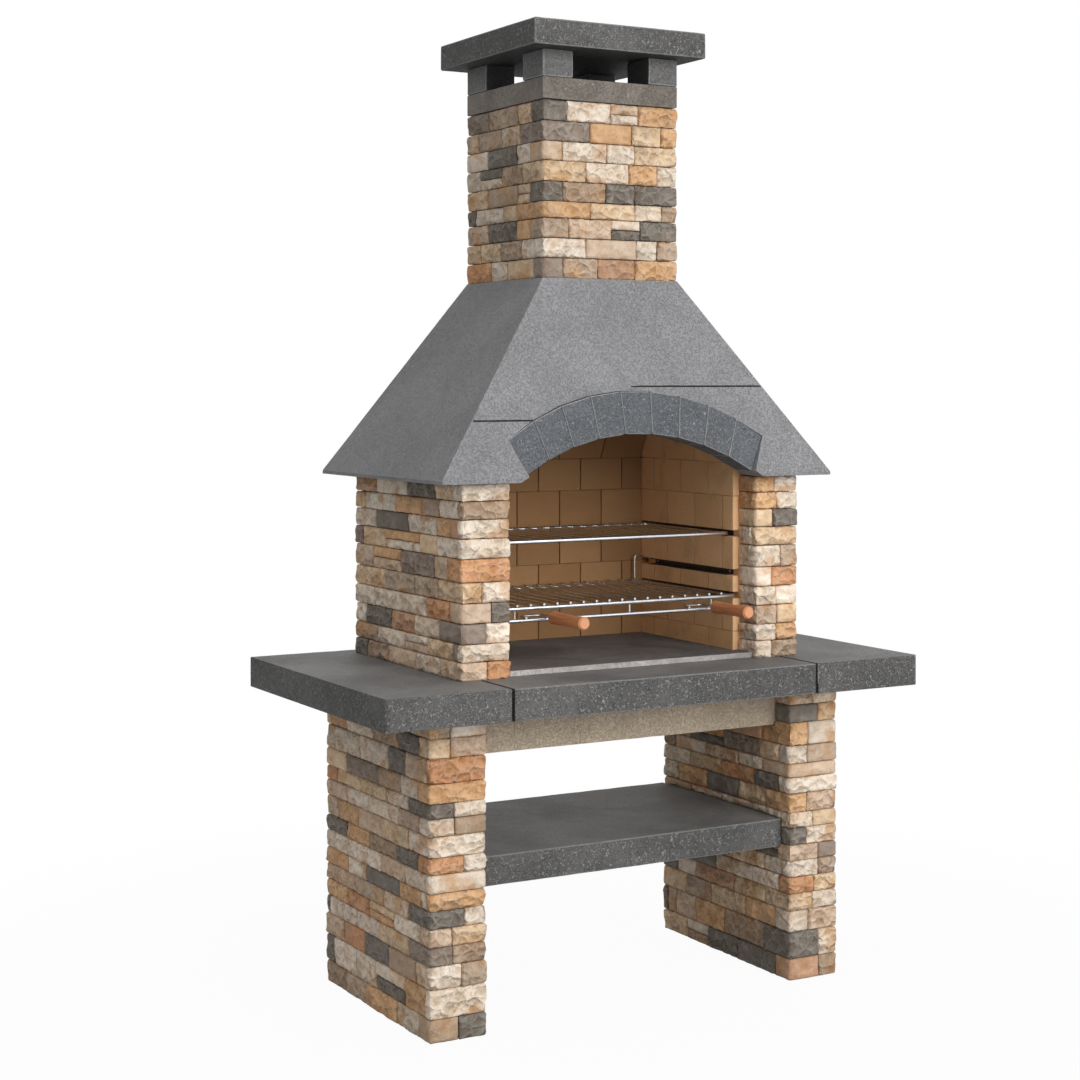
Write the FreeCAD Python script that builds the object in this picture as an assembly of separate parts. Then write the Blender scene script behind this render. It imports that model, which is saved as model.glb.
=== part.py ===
import FreeCAD, Part
import math
import os
import random

# Masonry barbecue with a chimney, built from separate blocks, slabs, stones, bricks and grates.
# Millimetres, +Z up, front towards -Y, origin on the floor below the middle of the worktop.

# Cladding stones
STONE_THICK = 20.0
STONE_JOINT = 3.0
STONE_LEAST = 60.0
STONE_MEAN = 132.0
CORNER_SHORT = 60.0
CORNER_LONG = 120.0
CORNER_SPREAD = 15.0
SINGLE_FACE = 160.0
LEAST_PIECE = 8.0
LENGTH_SPREAD = 0.5
MEETING_SPREAD = 0.14
SPLIT_SHARE = 0.10
FULL_FACE_SHARE = 0.35
BOND_DRAWS = 12
LEG_SEEDS = (11, 23)
WALL_SEED = 37
CHIMNEY_SEED = 41

# Worktop of three slabs
WORKTOP_WIDTH = 1500.0
WORKTOP_DEPTH = 811.0
WORKTOP_THICK = 75.0
WORKTOP_MIDDLE = 856.0
WORKTOP_JOINT = 3.0
WORKTOP_CORNER = 14.0

# Legs, outside their stones
LEG_CLEAR = 870.0
LEG_WIDTH = 148.0
LEG_DEPTH = 590.0
LEG_SETBACK = 121.0
LEG_HEIGHT = 749.0
LEG_COURSES = (55, 68, 54, 44, 42, 42, 40, 44, 39, 49, 41, 35, 46, 59, 46, 46)

# Lower shelf, let into the legs
SHELF_UNDERSIDE = 337.0
SHELF_THICK = 71.0
SHELF_SETBACK = 40.0
SHELF_BEARING = 30.0
POCKET_CLEAR = 1.5

# Support under the worktop, in three lengths that lap
SUPPORT_THICK = 104.0
SUPPORT_SETBACK = 65.0
SUPPORT_MIDDLE = 650.0
LAP_LENGTH = 60.0
LAP_INSET = 60.0
LAP_THICK = 52.0
LAP_CLEAR = 0.5

# Firebox, outside its stones
FIREBOX_WIDTH = 966.0
FIREBOX_DEPTH = 598.5
FIREBOX_HEIGHT = 462.0
FIREBOX_SETBACK = 154.5
RETURN_DEPTH = 79.0
BACK_BLOCK_THICK = 26.0
WALL_COURSES = (44, 42, 48, 48, 49, 55, 47, 45, 43, 41)
HEARTH_THICK = 14.0
HEARTH_SETBACK = 17.0
HEARTH_CLEAR = 1.5

# Firebrick lining, its courses named from the worktop up
CHAMBER_WIDTH = 676.0
LINING_THICK = 36.0
LINING_CLEAR = 1.0
BRICK_LENGTH = 128.3
BRICK_LEAST = 40.0
BRICK_JOINT = 2.0
HALF_BRICK_COURSES = (0, 2, 5)
PLINTH_COURSE = 61.0
FIRE_COURSE = 84.0
LOW_COURSE = 42.0
MIDDLE_COURSE = 84.0
HIGH_COURSE = 88.0
TOP_COURSE = 85.0
THROAT_COURSE = 64.0
THROAT_LEAN = 25.0
SLOT_HEIGHT = 16.0

# Grate rails in the slots, and their screws
RAIL_DEPTH = 22.0
RAIL_WALL = 2.0
RAIL_FRONT_INSET = 28.0
RAIL_BACK_INSET = 40.0
SCREW_INSET = 12.0
SCREW_HEAD = 6.0
SCREW_HEAD_THICK = 2.0
SCREW_SHANK = 3.0
SCREW_LENGTH = 30.0

# Grates of welded rod
FRAME_ROD = 10.0
BAR_ROD = 6.0
BAR_PITCH = 37.0
GRATE_SIDE_CLEAR = 4.0
GRATE_CORNER = 14.0
GRATE_LIFT = 0.3
WELD_GAP = 0.2
LOWER_GRATE_DEPTH = 421.0
UPPER_GRATE_DEPTH = 390.0
GRATE_BACK_GAP = 13.5
BAR_OVERHANG = 2.0

# Lower grate's second front rod, struts, handles and upright
BRACE_ROD = 9.0
BRACE_DROP = 29.0
BRACE_LEFT = -316.0
BRACE_RIGHT = 275.0
STRUT_ROD = 5.0
STRUT_PLACES = (-300.0, 25.0, 269.0)
HANDLE_PLACES = (-213.0, 257.0)
HANDLE_LENGTH = 150.0
HANDLE_DIAMETER = 32.0
HANDLE_WAIST = 28.5
HANDLE_WAIST_PLACE = 72.0
HANDLE_ROUND = 4.0
HANDLE_GAP = 34.0
HANDLE_BORE_DEPTH = 110.0
TANG_ROD = 6.0
TANG_CLEAR = 0.2
TANG_TIP_GAP = 2.0
TANG_REACH = 25.0
TANG_LOOP = 60.0
TANG_BEND = 14.0
UPRIGHT_ROD = 5.0
UPRIGHT_HEIGHT = 69.0
UPRIGHT_HOOK = 24.0
UPRIGHT_BEND = 8.0
UPRIGHT_PLACE = 304.0

# Hood
HOOD_HEIGHT = 493.0
HOOD_LIP = 10.0
HOOD_SIDE_OVERHANG = 72.0
HOOD_FRONT_OVERHANG = 43.0
HOOD_BACK_OVERHANG = 46.0
HOOD_SIDE_BEARING = 36.0
HOOD_FRONT_BEARING = 46.0
HOOD_BACK_BEARING = 38.0
LEFT_SEAM = 145.0
RIGHT_SEAM = 226.0
SEAM_GAP = 0.5

# Arch of voussoirs in the hood's front
ARCH_RISE = 111.0
ARCH_FOOT = 14.0
ARCH_SHOULDER = 100.0
ARCH_RADIUS = 590.0
ARCH_BACK_RADIUS = 637.0
ARCH_RING = 104.0
ARCH_LEAN = 0.5
ARCH_STONES = 9
ARCH_JOINT = 0.5
ARCH_SPRING = 23.0

# Chimney, outside its stones
CHIMNEY_WIDTH = 392.0
CHIMNEY_DEPTH = 404.5
CHIMNEY_HEIGHT = 439.0
CHIMNEY_SETBACK = 165.0
CHIMNEY_COURSES = (51, 49, 49, 41, 49, 51, 48, 50, 51)
FLUE_WALL = 45.0
FLUE_BLOCKS = ("lower", "middle", "upper")
COLLAR_THICK = 54.0
PILLAR_WIDTH = 86.0
PILLAR_DEPTH = 105.0
PILLAR_HEIGHT = 68.0
CAP_OVERHANG = 52.0
CAP_THICK = 65.0

# Levels
shelf_top = SHELF_UNDERSIDE + SHELF_THICK
support_bottom = LEG_HEIGHT - SUPPORT_THICK
worktop_top = LEG_HEIGHT + WORKTOP_THICK
hood_bottom = worktop_top + FIREBOX_HEIGHT
hood_top = hood_bottom + HOOD_HEIGHT
chimney_top = hood_top + CHIMNEY_HEIGHT
collar_top = chimney_top + COLLAR_THICK
cap_bottom = collar_top + PILLAR_HEIGHT

# Plan of the worktop and the legs
worktop_front = -WORKTOP_DEPTH / 2
leg_inner = LEG_CLEAR / 2
leg_outer = leg_inner + LEG_WIDTH
leg_front = worktop_front + LEG_SETBACK
leg_back = leg_front + LEG_DEPTH
core_inner = leg_inner + STONE_THICK
core_outer = leg_outer - STONE_THICK
core_front = leg_front + STONE_THICK
core_back = leg_back - STONE_THICK
shelf_front = leg_front + SHELF_SETBACK
tenon_end = core_inner + SHELF_BEARING
tenon_back = core_back - STONE_THICK
support_front = leg_front + SUPPORT_SETBACK

# Plan of the firebox
wall_outer = FIREBOX_WIDTH / 2
wall_front = worktop_front + FIREBOX_SETBACK
wall_back = wall_front + FIREBOX_DEPTH
block_outer = wall_outer - STONE_THICK
block_front = wall_front + STONE_THICK
block_back = wall_back - STONE_THICK
chamber_side = CHAMBER_WIDTH / 2
lining_outer = chamber_side + LINING_THICK
return_face = lining_outer - STONE_THICK
return_back = wall_front + RETURN_DEPTH
lining_front = return_back + LINING_CLEAR
lining_back = block_back - BACK_BLOCK_THICK
chamber_back = lining_back - LINING_THICK

# Slots in the lining, by their lower edges
lower_slot = worktop_top + PLINTH_COURSE + FIRE_COURSE
middle_slot = lower_slot + SLOT_HEIGHT + LOW_COURSE
upper_slot = middle_slot + SLOT_HEIGHT + MIDDLE_COURSE
high_line = upper_slot + SLOT_HEIGHT + HIGH_COURSE
throat_line = high_line + TOP_COURSE
slot_back = chamber_side + RAIL_DEPTH
rail_front = lining_front + RAIL_FRONT_INSET
rail_back = chamber_back - RAIL_BACK_INSET

# Plan of the hood and the chimney
hood_side = wall_outer + HOOD_SIDE_OVERHANG
hood_front = wall_front - HOOD_FRONT_OVERHANG
hood_back = wall_back + HOOD_BACK_OVERHANG
hollow_side = wall_outer - HOOD_SIDE_BEARING
hollow_front = wall_front + HOOD_FRONT_BEARING
hollow_back = wall_back - HOOD_BACK_BEARING
chimney_side = CHIMNEY_WIDTH / 2
chimney_front = hood_front + CHIMNEY_SETBACK
chimney_back = chimney_front + CHIMNEY_DEPTH
block_side = chimney_side - STONE_THICK
flue_side = block_side - FLUE_WALL
flue_front = chimney_front + STONE_THICK + FLUE_WALL
flue_back = chimney_back - STONE_THICK - FLUE_WALL

# Heights and places on the grates
grate_side = return_face - GRATE_SIDE_CLEAR - FRAME_ROD / 2
grate_back = chamber_back - GRATE_BACK_GAP - FRAME_ROD / 2
lower_rod = lower_slot + RAIL_WALL + GRATE_LIFT + FRAME_ROD / 2
upper_rod = upper_slot + RAIL_WALL + GRATE_LIFT + FRAME_ROD / 2
lower_grate_front = grate_back - LOWER_GRATE_DEPTH
upper_grate_front = grate_back - UPPER_GRATE_DEPTH
brace_level = lower_rod - BRACE_DROP
tang_level = brace_level + BRACE_ROD / 2 + WELD_GAP + TANG_ROD / 2
handle_back = lower_grate_front - HANDLE_GAP


def vec(x, y, z):
    return FreeCAD.Vector(x, y, z)


def box(x0, x1, y0, y1, z0, z1):
    """A block between two opposite corners, the lesser of each pair first."""
    return Part.makeBox(x1 - x0, y1 - y0, z1 - z0, vec(x0, y0, z0))


def side_box(side, x0, x1, y0, y1, z0, z1):
    """A block at x0 to x1 from the middle, on the left (side -1) or the right (side 1)."""
    return box(min(side * x0, side * x1), max(side * x0, side * x1), y0, y1, z0, z1)


def prism(corners, along):
    """A flat outline pushed along a vector."""
    face = Part.Face(Part.makePolygon(corners + corners[:1]))
    return face.extrude(along)


def plan_prism(points, z0, z1):
    """An outline drawn in plan, between two levels."""
    return prism([vec(x, y, z0) for x, y in points], vec(0, 0, z1 - z0))


def front_prism(points, y0, y1):
    """An outline drawn in the front view, between two depths."""
    return prism([vec(x, y0, z) for x, z in points], vec(0, y1 - y0, 0))


def frustum(bottom, z0, top, z1):
    """A tapering block between two rectangles, each given as x0, x1, y0, y1."""
    rings = []
    for (x0, x1, y0, y1), z in ((bottom, z0), (top, z1)):
        corners = [vec(x0, y0, z), vec(x1, y0, z), vec(x1, y1, z), vec(x0, y1, z)]
        rings.append(Part.makePolygon(corners + corners[:1]))
    return Part.makeLoft(rings, True, True)


def rod(start, end, diameter):
    """A round rod between two points."""
    run = end.sub(start)
    return Part.makeCylinder(diameter / 2, run.Length, start, run)


def elbow(corner, before, after, radius, diameter):
    """A quarter bend of rod at a corner, between two unit directions at right angles."""
    start = corner.sub(before * radius)
    centre = start.add(after * radius)
    circle = Part.makeCircle(diameter / 2, start, before)
    section = Part.Face(Part.Wire([circle]))
    return section.revolve(centre, before.cross(after), 90)


def bent_rod(points, radius, diameter, closed=False):
    """A rod along square corners, each rounded to a radius at its axis."""
    count = len(points)
    legs = count if closed else count - 1
    pieces = []
    for index in range(legs):
        start = points[index]
        end = points[(index + 1) % count]
        along = end.sub(start).normalize()
        if closed or index > 0:
            start = start.add(along * radius)
        if closed or index < legs - 1:
            corner = end
            end = end.sub(along * radius)
            following = points[(index + 2) % count].sub(corner).normalize()
            pieces.append(elbow(corner, along, following, radius, diameter))
        pieces.append(rod(start, end, diameter))
    return pieces[0].multiFuse(pieces[1:]).removeSplitter()


def course_levels(bottom, top, heights):
    """The lower and upper edge of each course, its share of the wall taken from a list of heights."""
    scale = (top - bottom) / sum(heights)
    levels = []
    level = bottom
    for height in heights:
        levels.append((level, level + height * scale - STONE_JOINT))
        level += height * scale
    return levels


def fill_span(dice, start, end, below):
    """Stones from start to end with joints between, drawn to keep their joints off those below."""
    count = max(1, round((end - start) / STONE_MEAN))
    best = None
    for draw in range(BOND_DRAWS):
        shares = [dice.uniform(1 - LENGTH_SPREAD, 1 + LENGTH_SPREAD) for stone in range(count)]
        unit = (end - start - (count - 1) * STONE_JOINT) / sum(shares)
        stones = []
        place = start
        for share in shares:
            stones.append((place, place + share * unit))
            place += share * unit + STONE_JOINT
        clear = min([abs(a - b) for a, stone_end in stones[1:] for b in below], default=STONE_MEAN)
        if best is None or clear > best[0]:
            best = (clear, stones)
    return best[1]


class Cladding:
    """Stones in courses round a path in plan, with the wall that they cover on the path's left."""

    def __init__(self, path, closed, seed):
        self.points = [vec(x, y, 0) for x, y in path]
        self.closed = closed
        self.dice = random.Random(seed)
        self.corner_stones = []
        self.field_stones = []
        self.below = {}
        count = len(self.points)
        self.runs = []
        for index in range(count if closed else count - 1):
            start = self.points[index]
            span = self.points[(index + 1) % count].sub(start)
            self.runs.append((start, vec(span.x, span.y, 0).normalize(), span.Length))

    def inward(self, along):
        return vec(-along.y, along.x, 0)

    def is_corner(self, index):
        return self.closed or 0 < index < len(self.points) - 1

    def arms(self, course):
        """The length of each corner stone's arm at the start and the end of every run."""
        lengths = []
        for index, (start, along, length) in enumerate(self.runs):
            first = self.is_corner(index)
            last = self.is_corner((index + 1) % len(self.points))
            if not (first and last):
                lengths.append((length if first else 0.0, length if last else 0.0))
            elif length <= SINGLE_FACE:
                lengths.append(self.short_run(length))
            else:
                lengths.append(self.long_run(index, length, course))
        return lengths

    def short_run(self, length):
        """A narrow face: one stone right across it, or two that meet near its middle."""
        if self.dice.random() < FULL_FACE_SHARE:
            return self.dice.choice(((length, 0.0), (0.0, length)))
        share = self.dice.uniform(0.5 - MEETING_SPREAD, 0.5 + MEETING_SPREAD)
        first = share * (length - STONE_JOINT)
        return (first, length - STONE_JOINT - first)

    def long_run(self, index, length, course):
        """A wide face: long and short arms change places from course to course."""
        spread = self.dice.uniform(-CORNER_SPREAD, CORNER_SPREAD)
        first = (CORNER_LONG if (course + index) % 2 else CORNER_SHORT) + spread
        last = (CORNER_SHORT if (course + index) % 2 else CORNER_LONG) - spread
        return (first, last)

    def stone(self, outline, level):
        return plan_prism([(point.x, point.y) for point in outline], level[0], level[1])

    def straight_stone(self, run, begin, end, level):
        """A stone on a straight face, between two distances along its run."""
        start, along, length = run
        depth = self.inward(along) * STONE_THICK
        near = start.add(along * begin)
        far = start.add(along * end)
        return self.stone([near, far, far.add(depth), near.add(depth)], level)

    def corner_stone(self, before, after, arm_in, arm_out, level):
        """A stone that wraps the corner between two runs."""
        corner = after[0]
        back = before[1] * -arm_in
        onward = after[1] * arm_out
        inset_before = self.inward(before[1]) * STONE_THICK
        inset_after = self.inward(after[1]) * STONE_THICK
        outline = [
            corner.add(back),
            corner,
            corner.add(onward),
            corner.add(onward).add(inset_after),
            corner.add(inset_before).add(inset_after),
            corner.add(back).add(inset_before),
        ]
        return self.stone(outline, level)

    def lay_corners(self, arms, level):
        """The corner stones of one course. A missing arm leaves a stone that butts against its neighbour."""
        for index, after in enumerate(self.runs):
            if not self.is_corner(index):
                continue
            before = self.runs[index - 1]
            arm_in = arms[index - 1][1]
            arm_out = arms[index][0]
            butt = STONE_THICK + STONE_JOINT
            if arm_in and arm_out:
                self.corner_stones.append(self.corner_stone(before, after, arm_in, arm_out, level))
            elif arm_out:
                self.corner_stones.append(self.straight_stone(after, butt, arm_out, level))
            else:
                length = before[2]
                self.corner_stones.append(self.straight_stone(before, length - arm_in, length - butt, level))

    def lay_field(self, arms, level):
        """The stones between the corner stones of one course."""
        for index, run in enumerate(self.runs):
            begin = arms[index][0] + STONE_JOINT
            end = run[2] - arms[index][1] - STONE_JOINT
            if end - begin < STONE_LEAST:
                continue
            stones = fill_span(self.dice, begin, end, self.below.get(index, []))
            self.below[index] = [stone[0] for stone in stones]
            for near, far in stones:
                for part_level in self.split_level(level):
                    self.field_stones.append(self.straight_stone(run, near, far, part_level))

    def split_level(self, level):
        """One stone's level, or now and then two thin stones in its place."""
        if self.dice.random() >= SPLIT_SHARE:
            return [level]
        middle = (level[0] + level[1]) / 2
        return [(level[0], middle - STONE_JOINT / 2), (middle + STONE_JOINT / 2, level[1])]

    def close_narrow_gaps(self, arms):
        """Lengthens a corner stone where no field stone would fit between two of them."""
        closed = []
        for (first, last), (start, along, length) in zip(arms, self.runs):
            span = length - first - last - 2 * STONE_JOINT
            if first and last and span < STONE_LEAST:
                first += span + STONE_JOINT
            closed.append((first, last))
        return closed

    def lay(self, bottom, top, heights):
        """Lays every course between two levels."""
        for course, level in enumerate(course_levels(bottom, top, heights)):
            arms = self.close_narrow_gaps(self.arms(course))
            self.lay_corners(arms, level)
            self.lay_field(arms, level)

    def cut_round(self, pieces):
        """Cuts the stones round what passes through the wall, and leaves out slivers."""
        self.corner_stones = cut_stones(self.corner_stones, pieces)
        self.field_stones = cut_stones(self.field_stones, pieces)


def cut_stones(stones, pieces):
    """Stones with some pieces' room taken out of them."""
    kept = []
    for stone in stones:
        in_the_way = [piece for piece in pieces if stone.BoundBox.intersect(piece.BoundBox)]
        rest = stone.cut(in_the_way) if in_the_way else stone
        for solid in rest.Solids:
            size = solid.BoundBox
            if min(size.XLength, size.YLength, size.ZLength) >= LEAST_PIECE:
                kept.append(solid)
    return kept


def rectangle(x0, x1, y0, y1):
    """The four corners of a rectangle, anticlockwise from the front left."""
    return [(x0, y0), (x1, y0), (x1, y1), (x0, y1)]


def ring_block(outer, inner, z0, z1):
    """A hollow block between two rectangles, each given as x0, x1, y0, y1."""
    return box(*outer, z0, z1).cut(box(*inner, z0, z1))


def shelf_bearing(clear):
    """The part of the shelf that runs from one leg into the other, with some clearance round it."""
    return box(
        -tenon_end - clear,
        tenon_end + clear,
        shelf_front - clear,
        tenon_back + clear,
        SHELF_UNDERSIDE - clear,
        shelf_top + clear,
    )


def legs(nodes):
    """The blocks inside each leg and the stones round them."""
    for name, side, seed in zip(("left", "right"), (-1, 1), LEG_SEEDS):
        footprint = (core_inner, core_outer, core_front, core_back)
        pocket = side_box(
            side,
            core_inner,
            tenon_end + POCKET_CLEAR,
            shelf_front - POCKET_CLEAR,
            tenon_back + POCKET_CLEAR,
            SHELF_UNDERSIDE,
            shelf_top,
        )
        nodes[f"{name}_leg_lower_block"] = [side_box(side, *footprint, 0, SHELF_UNDERSIDE)]
        pocket_block = side_box(side, *footprint, SHELF_UNDERSIDE, shelf_top)
        nodes[f"{name}_leg_pocket_block"] = [pocket_block.cut(pocket)]
        nodes[f"{name}_leg_upper_block"] = [side_box(side, *footprint, shelf_top, support_bottom)]
        nodes[f"{name}_leg_head_block"] = [
            side_box(side, core_inner, core_outer, core_front, support_front, support_bottom, LEG_HEIGHT)
        ]
        left_face, right_face = sorted((side * leg_inner, side * leg_outer))
        stones = Cladding(rectangle(left_face, right_face, leg_front, leg_back), True, seed)
        stones.lay(STONE_JOINT, LEG_HEIGHT, LEG_COURSES)
        beam = side_box(
            side,
            leg_inner,
            core_outer,
            support_front - STONE_JOINT,
            core_back,
            support_bottom - STONE_JOINT,
            LEG_HEIGHT,
        )
        stones.cut_round([shelf_bearing(POCKET_CLEAR), beam])
        nodes[f"{name}_leg_corner_stones"] = stones.corner_stones
        nodes[f"{name}_leg_field_stones"] = stones.field_stones


def shelf(nodes):
    """The lower shelf, as wide as the room between the legs, with a bearing end in each."""
    face = leg_inner - POCKET_CLEAR
    middle = box(-face, face, shelf_front, leg_back, SHELF_UNDERSIDE, shelf_top)
    nodes["lower_shelf"] = [middle.fuse(shelf_bearing(0)).removeSplitter()]


def support(nodes):
    """The beam under the worktop: an end block on each leg, and a middle slab lapped onto both."""
    half = SUPPORT_MIDDLE / 2
    middle = box(-half, half, support_front, core_back, support_bottom, LEG_HEIGHT)
    lap_front = support_front + LAP_INSET
    lap_back = core_back - LAP_INSET
    lap_top = support_bottom + LAP_THICK
    for name, side in (("left", -1), ("right", 1)):
        block = side_box(side, half, core_outer, support_front, core_back, support_bottom, LEG_HEIGHT)
        tongue = side_box(side, half - LAP_LENGTH, half, lap_front, lap_back, support_bottom, lap_top)
        room = side_box(
            side,
            half - LAP_LENGTH - LAP_CLEAR,
            half,
            lap_front - LAP_CLEAR,
            lap_back + LAP_CLEAR,
            support_bottom,
            lap_top,
        )
        nodes[f"{name}_support_block"] = [block.fuse(tongue).removeSplitter()]
        middle = middle.cut(room)
    nodes["support_slab"] = [middle]


def worktop(nodes):
    """Three slabs, the outer two with rounded front corners."""
    half = WORKTOP_WIDTH / 2
    seam = WORKTOP_MIDDLE / 2
    depth = (worktop_front, -worktop_front)
    nodes["worktop_middle"] = [box(-seam, seam, *depth, LEG_HEIGHT, worktop_top)]
    for name, side in (("left", -1), ("right", 1)):
        slab = side_box(side, seam + WORKTOP_JOINT, half, *depth, LEG_HEIGHT, worktop_top)
        middle = vec(side * half, worktop_front, (LEG_HEIGHT + worktop_top) / 2)
        corner = min(slab.Edges, key=lambda edge: edge.CenterOfMass.distanceToPoint(middle))
        nodes[f"worktop_{name}"] = [slab.makeFillet(WORKTOP_CORNER, [corner])]


def firebox_walls(nodes):
    """The wall blocks, the stones outside them and the hearth between them."""
    height = (worktop_top, hood_bottom)
    for name, side in (("left", -1), ("right", 1)):
        nodes[f"{name}_wall_block"] = [
            side_box(side, lining_outer, block_outer, block_front, block_back, *height)
        ]
    nodes["back_wall_block"] = [box(-lining_outer, lining_outer, lining_back, block_back, *height)]
    path = [
        (return_face, return_back),
        (return_face, wall_front),
        (wall_outer, wall_front),
        (wall_outer, wall_back),
        (-wall_outer, wall_back),
        (-wall_outer, wall_front),
        (-return_face, wall_front),
        (-return_face, return_back),
    ]
    stones = Cladding(path, False, WALL_SEED)
    stones.lay(worktop_top, hood_bottom, WALL_COURSES)
    nodes["wall_corner_stones"] = stones.corner_stones
    nodes["wall_field_stones"] = stones.field_stones
    narrow = chamber_side - HEARTH_CLEAR
    wide = return_face - HEARTH_CLEAR
    front = wall_front + HEARTH_SETBACK
    step = return_back - HEARTH_CLEAR
    outline = [
        (-wide, front),
        (wide, front),
        (wide, step),
        (narrow, step),
        (narrow, chamber_back - HEARTH_CLEAR),
        (-narrow, chamber_back - HEARTH_CLEAR),
        (-narrow, step),
        (-wide, step),
    ]
    nodes["hearth_slab"] = [plan_prism(outline, worktop_top, worktop_top + HEARTH_THICK)]


def brick_row(length, lead, half_first):
    """The bricks along a wall, laid past a lead with a half or a whole one first and the last cut to fit."""
    pitch = BRICK_LENGTH + BRICK_JOINT
    place = lead + (pitch / 2 if half_first else pitch)
    edges = [0.0]
    while place + BRICK_LEAST < length:
        edges.append(place)
        place += pitch
    edges.append(length + BRICK_JOINT)
    return [(near, far - BRICK_JOINT) for near, far in zip(edges, edges[1:])]


def side_lining(side):
    """The bricks of one side, with a rebate along the top of each course that carries a rail."""
    line_levels = [
        worktop_top,
        worktop_top + PLINTH_COURSE,
        lower_slot + SLOT_HEIGHT,
        middle_slot + SLOT_HEIGHT,
        upper_slot + SLOT_HEIGHT,
        high_line,
        throat_line,
        throat_line + THROAT_COURSE,
    ]
    slots = {1: lower_slot, 2: middle_slot, 3: upper_slot}
    bricks = []
    for course, (bottom, top) in enumerate(zip(line_levels, line_levels[1:])):
        for near, far in brick_row(chamber_back - lining_front, 0, course in HALF_BRICK_COURSES):
            ends = (chamber_back - far, chamber_back - near)
            brick = side_box(side, chamber_side, lining_outer, *ends, bottom, top)
            if course in slots:
                slot = slots[course]
                room = side_box(side, chamber_side, slot_back, lining_front, chamber_back, slot, top)
                brick = brick.cut(room)
            bricks.append(brick)
    return bricks


def back_lining():
    """The upright bricks of the back wall, laid from the right, with ends behind both side linings."""
    line_levels = [
        worktop_top,
        worktop_top + PLINTH_COURSE,
        lower_slot + SLOT_HEIGHT / 2,
        middle_slot + SLOT_HEIGHT / 2,
        upper_slot + SLOT_HEIGHT / 2,
        high_line,
        throat_line,
    ]
    bricks = []
    for course, (bottom, top) in enumerate(zip(line_levels, line_levels[1:])):
        for near, far in brick_row(2 * lining_outer, LINING_THICK, course in HALF_BRICK_COURSES):
            ends = (lining_outer - far, lining_outer - near)
            bricks.append(box(*ends, chamber_back, lining_back, bottom, top))
    return bricks


def throat_bricks():
    """The course above the back lining, leaning forwards under the hood."""
    shift = THROAT_COURSE * math.tan(math.radians(THROAT_LEAN))
    half = chamber_side - BRICK_JOINT
    top = throat_line + THROAT_COURSE
    bricks = []
    for near, far in brick_row(2 * half, 0, False):
        outline = [
            (chamber_back, throat_line),
            (lining_back, throat_line),
            (lining_back - shift, top),
            (chamber_back - shift, top),
        ]
        corners = [vec(half - far, y, z) for y, z in outline]
        bricks.append(prism(corners, vec(far - near, 0, 0)))
    return bricks


def lining(nodes):
    """The firebrick inside the walls."""
    nodes["left_lining_bricks"] = side_lining(-1)
    nodes["right_lining_bricks"] = side_lining(1)
    nodes["back_lining_bricks"] = back_lining()
    nodes["throat_bricks"] = throat_bricks()


def rail(side, slot):
    """A channel that lies in a slot and opens towards the chamber."""
    outer = side_box(side, chamber_side, slot_back, rail_front, rail_back, slot, slot + SLOT_HEIGHT)
    inner = side_box(
        side,
        chamber_side,
        slot_back - RAIL_WALL,
        rail_front,
        rail_back,
        slot + RAIL_WALL,
        slot + SLOT_HEIGHT - RAIL_WALL,
    )
    return outer.cut(inner)


def rails(nodes):
    """The rails of both sides, and the screws that hold them to the wall blocks."""
    screws = []
    for name, side in (("left", -1), ("right", 1)):
        nodes[f"{name}_grate_rails"] = [rail(side, slot) for slot in (lower_slot, middle_slot, upper_slot)]
        for slot in (lower_slot, middle_slot, upper_slot):
            level = slot + SLOT_HEIGHT / 2
            for depth in (rail_front + SCREW_INSET, rail_back - SCREW_INSET):
                seat = vec(side * (slot_back - RAIL_WALL), depth, level)
                head = Part.makeCylinder(SCREW_HEAD / 2, SCREW_HEAD_THICK, seat, vec(-side, 0, 0))
                shank = Part.makeCylinder(SCREW_SHANK / 2, SCREW_LENGTH, seat, vec(side, 0, 0))
                screws.append(head.fuse(shank))
                for node in (f"{name}_grate_rails", f"{name}_lining_bricks", f"{name}_wall_block"):
                    nodes[node] = [clear_hole(solid, shank) for solid in nodes[node]]
    nodes["rail_screws"] = screws


def clear_hole(solid, shank):
    """A solid with the hole for a screw's shank, where the shank passes through it."""
    if not solid.BoundBox.intersect(shank.BoundBox):
        return solid
    return solid.cut(shank)


def grate_frame(front, level):
    """The bent rod round a grate."""
    corners = [
        vec(-grate_side, front, level),
        vec(grate_side, front, level),
        vec(grate_side, grate_back, level),
        vec(-grate_side, grate_back, level),
    ]
    return bent_rod(corners, GRATE_CORNER, FRAME_ROD, True)


def bars_between(near, far, level):
    """A grate's bars from front to back at a level, evenly spaced each way from the middle."""
    room = grate_side - GRATE_CORNER - BAR_ROD
    each_way = int(room // BAR_PITCH)
    places = [BAR_PITCH * index for index in range(-each_way, each_way + 1)]
    return [rod(vec(x, near, level), vec(x, far, level), BAR_ROD) for x in places]


def bars_across(front, level):
    """Bars that lie across the front and back rods of a grate."""
    end = FRAME_ROD / 2 + BAR_OVERHANG
    return bars_between(front - end, grate_back + end, level + FRAME_ROD / 2 + WELD_GAP + BAR_ROD / 2)


def bars_inside(front, level):
    """Bars that end against the front and back rods of a grate."""
    end = FRAME_ROD / 2 + WELD_GAP
    return bars_between(front + end, grate_back - end, level)


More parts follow.
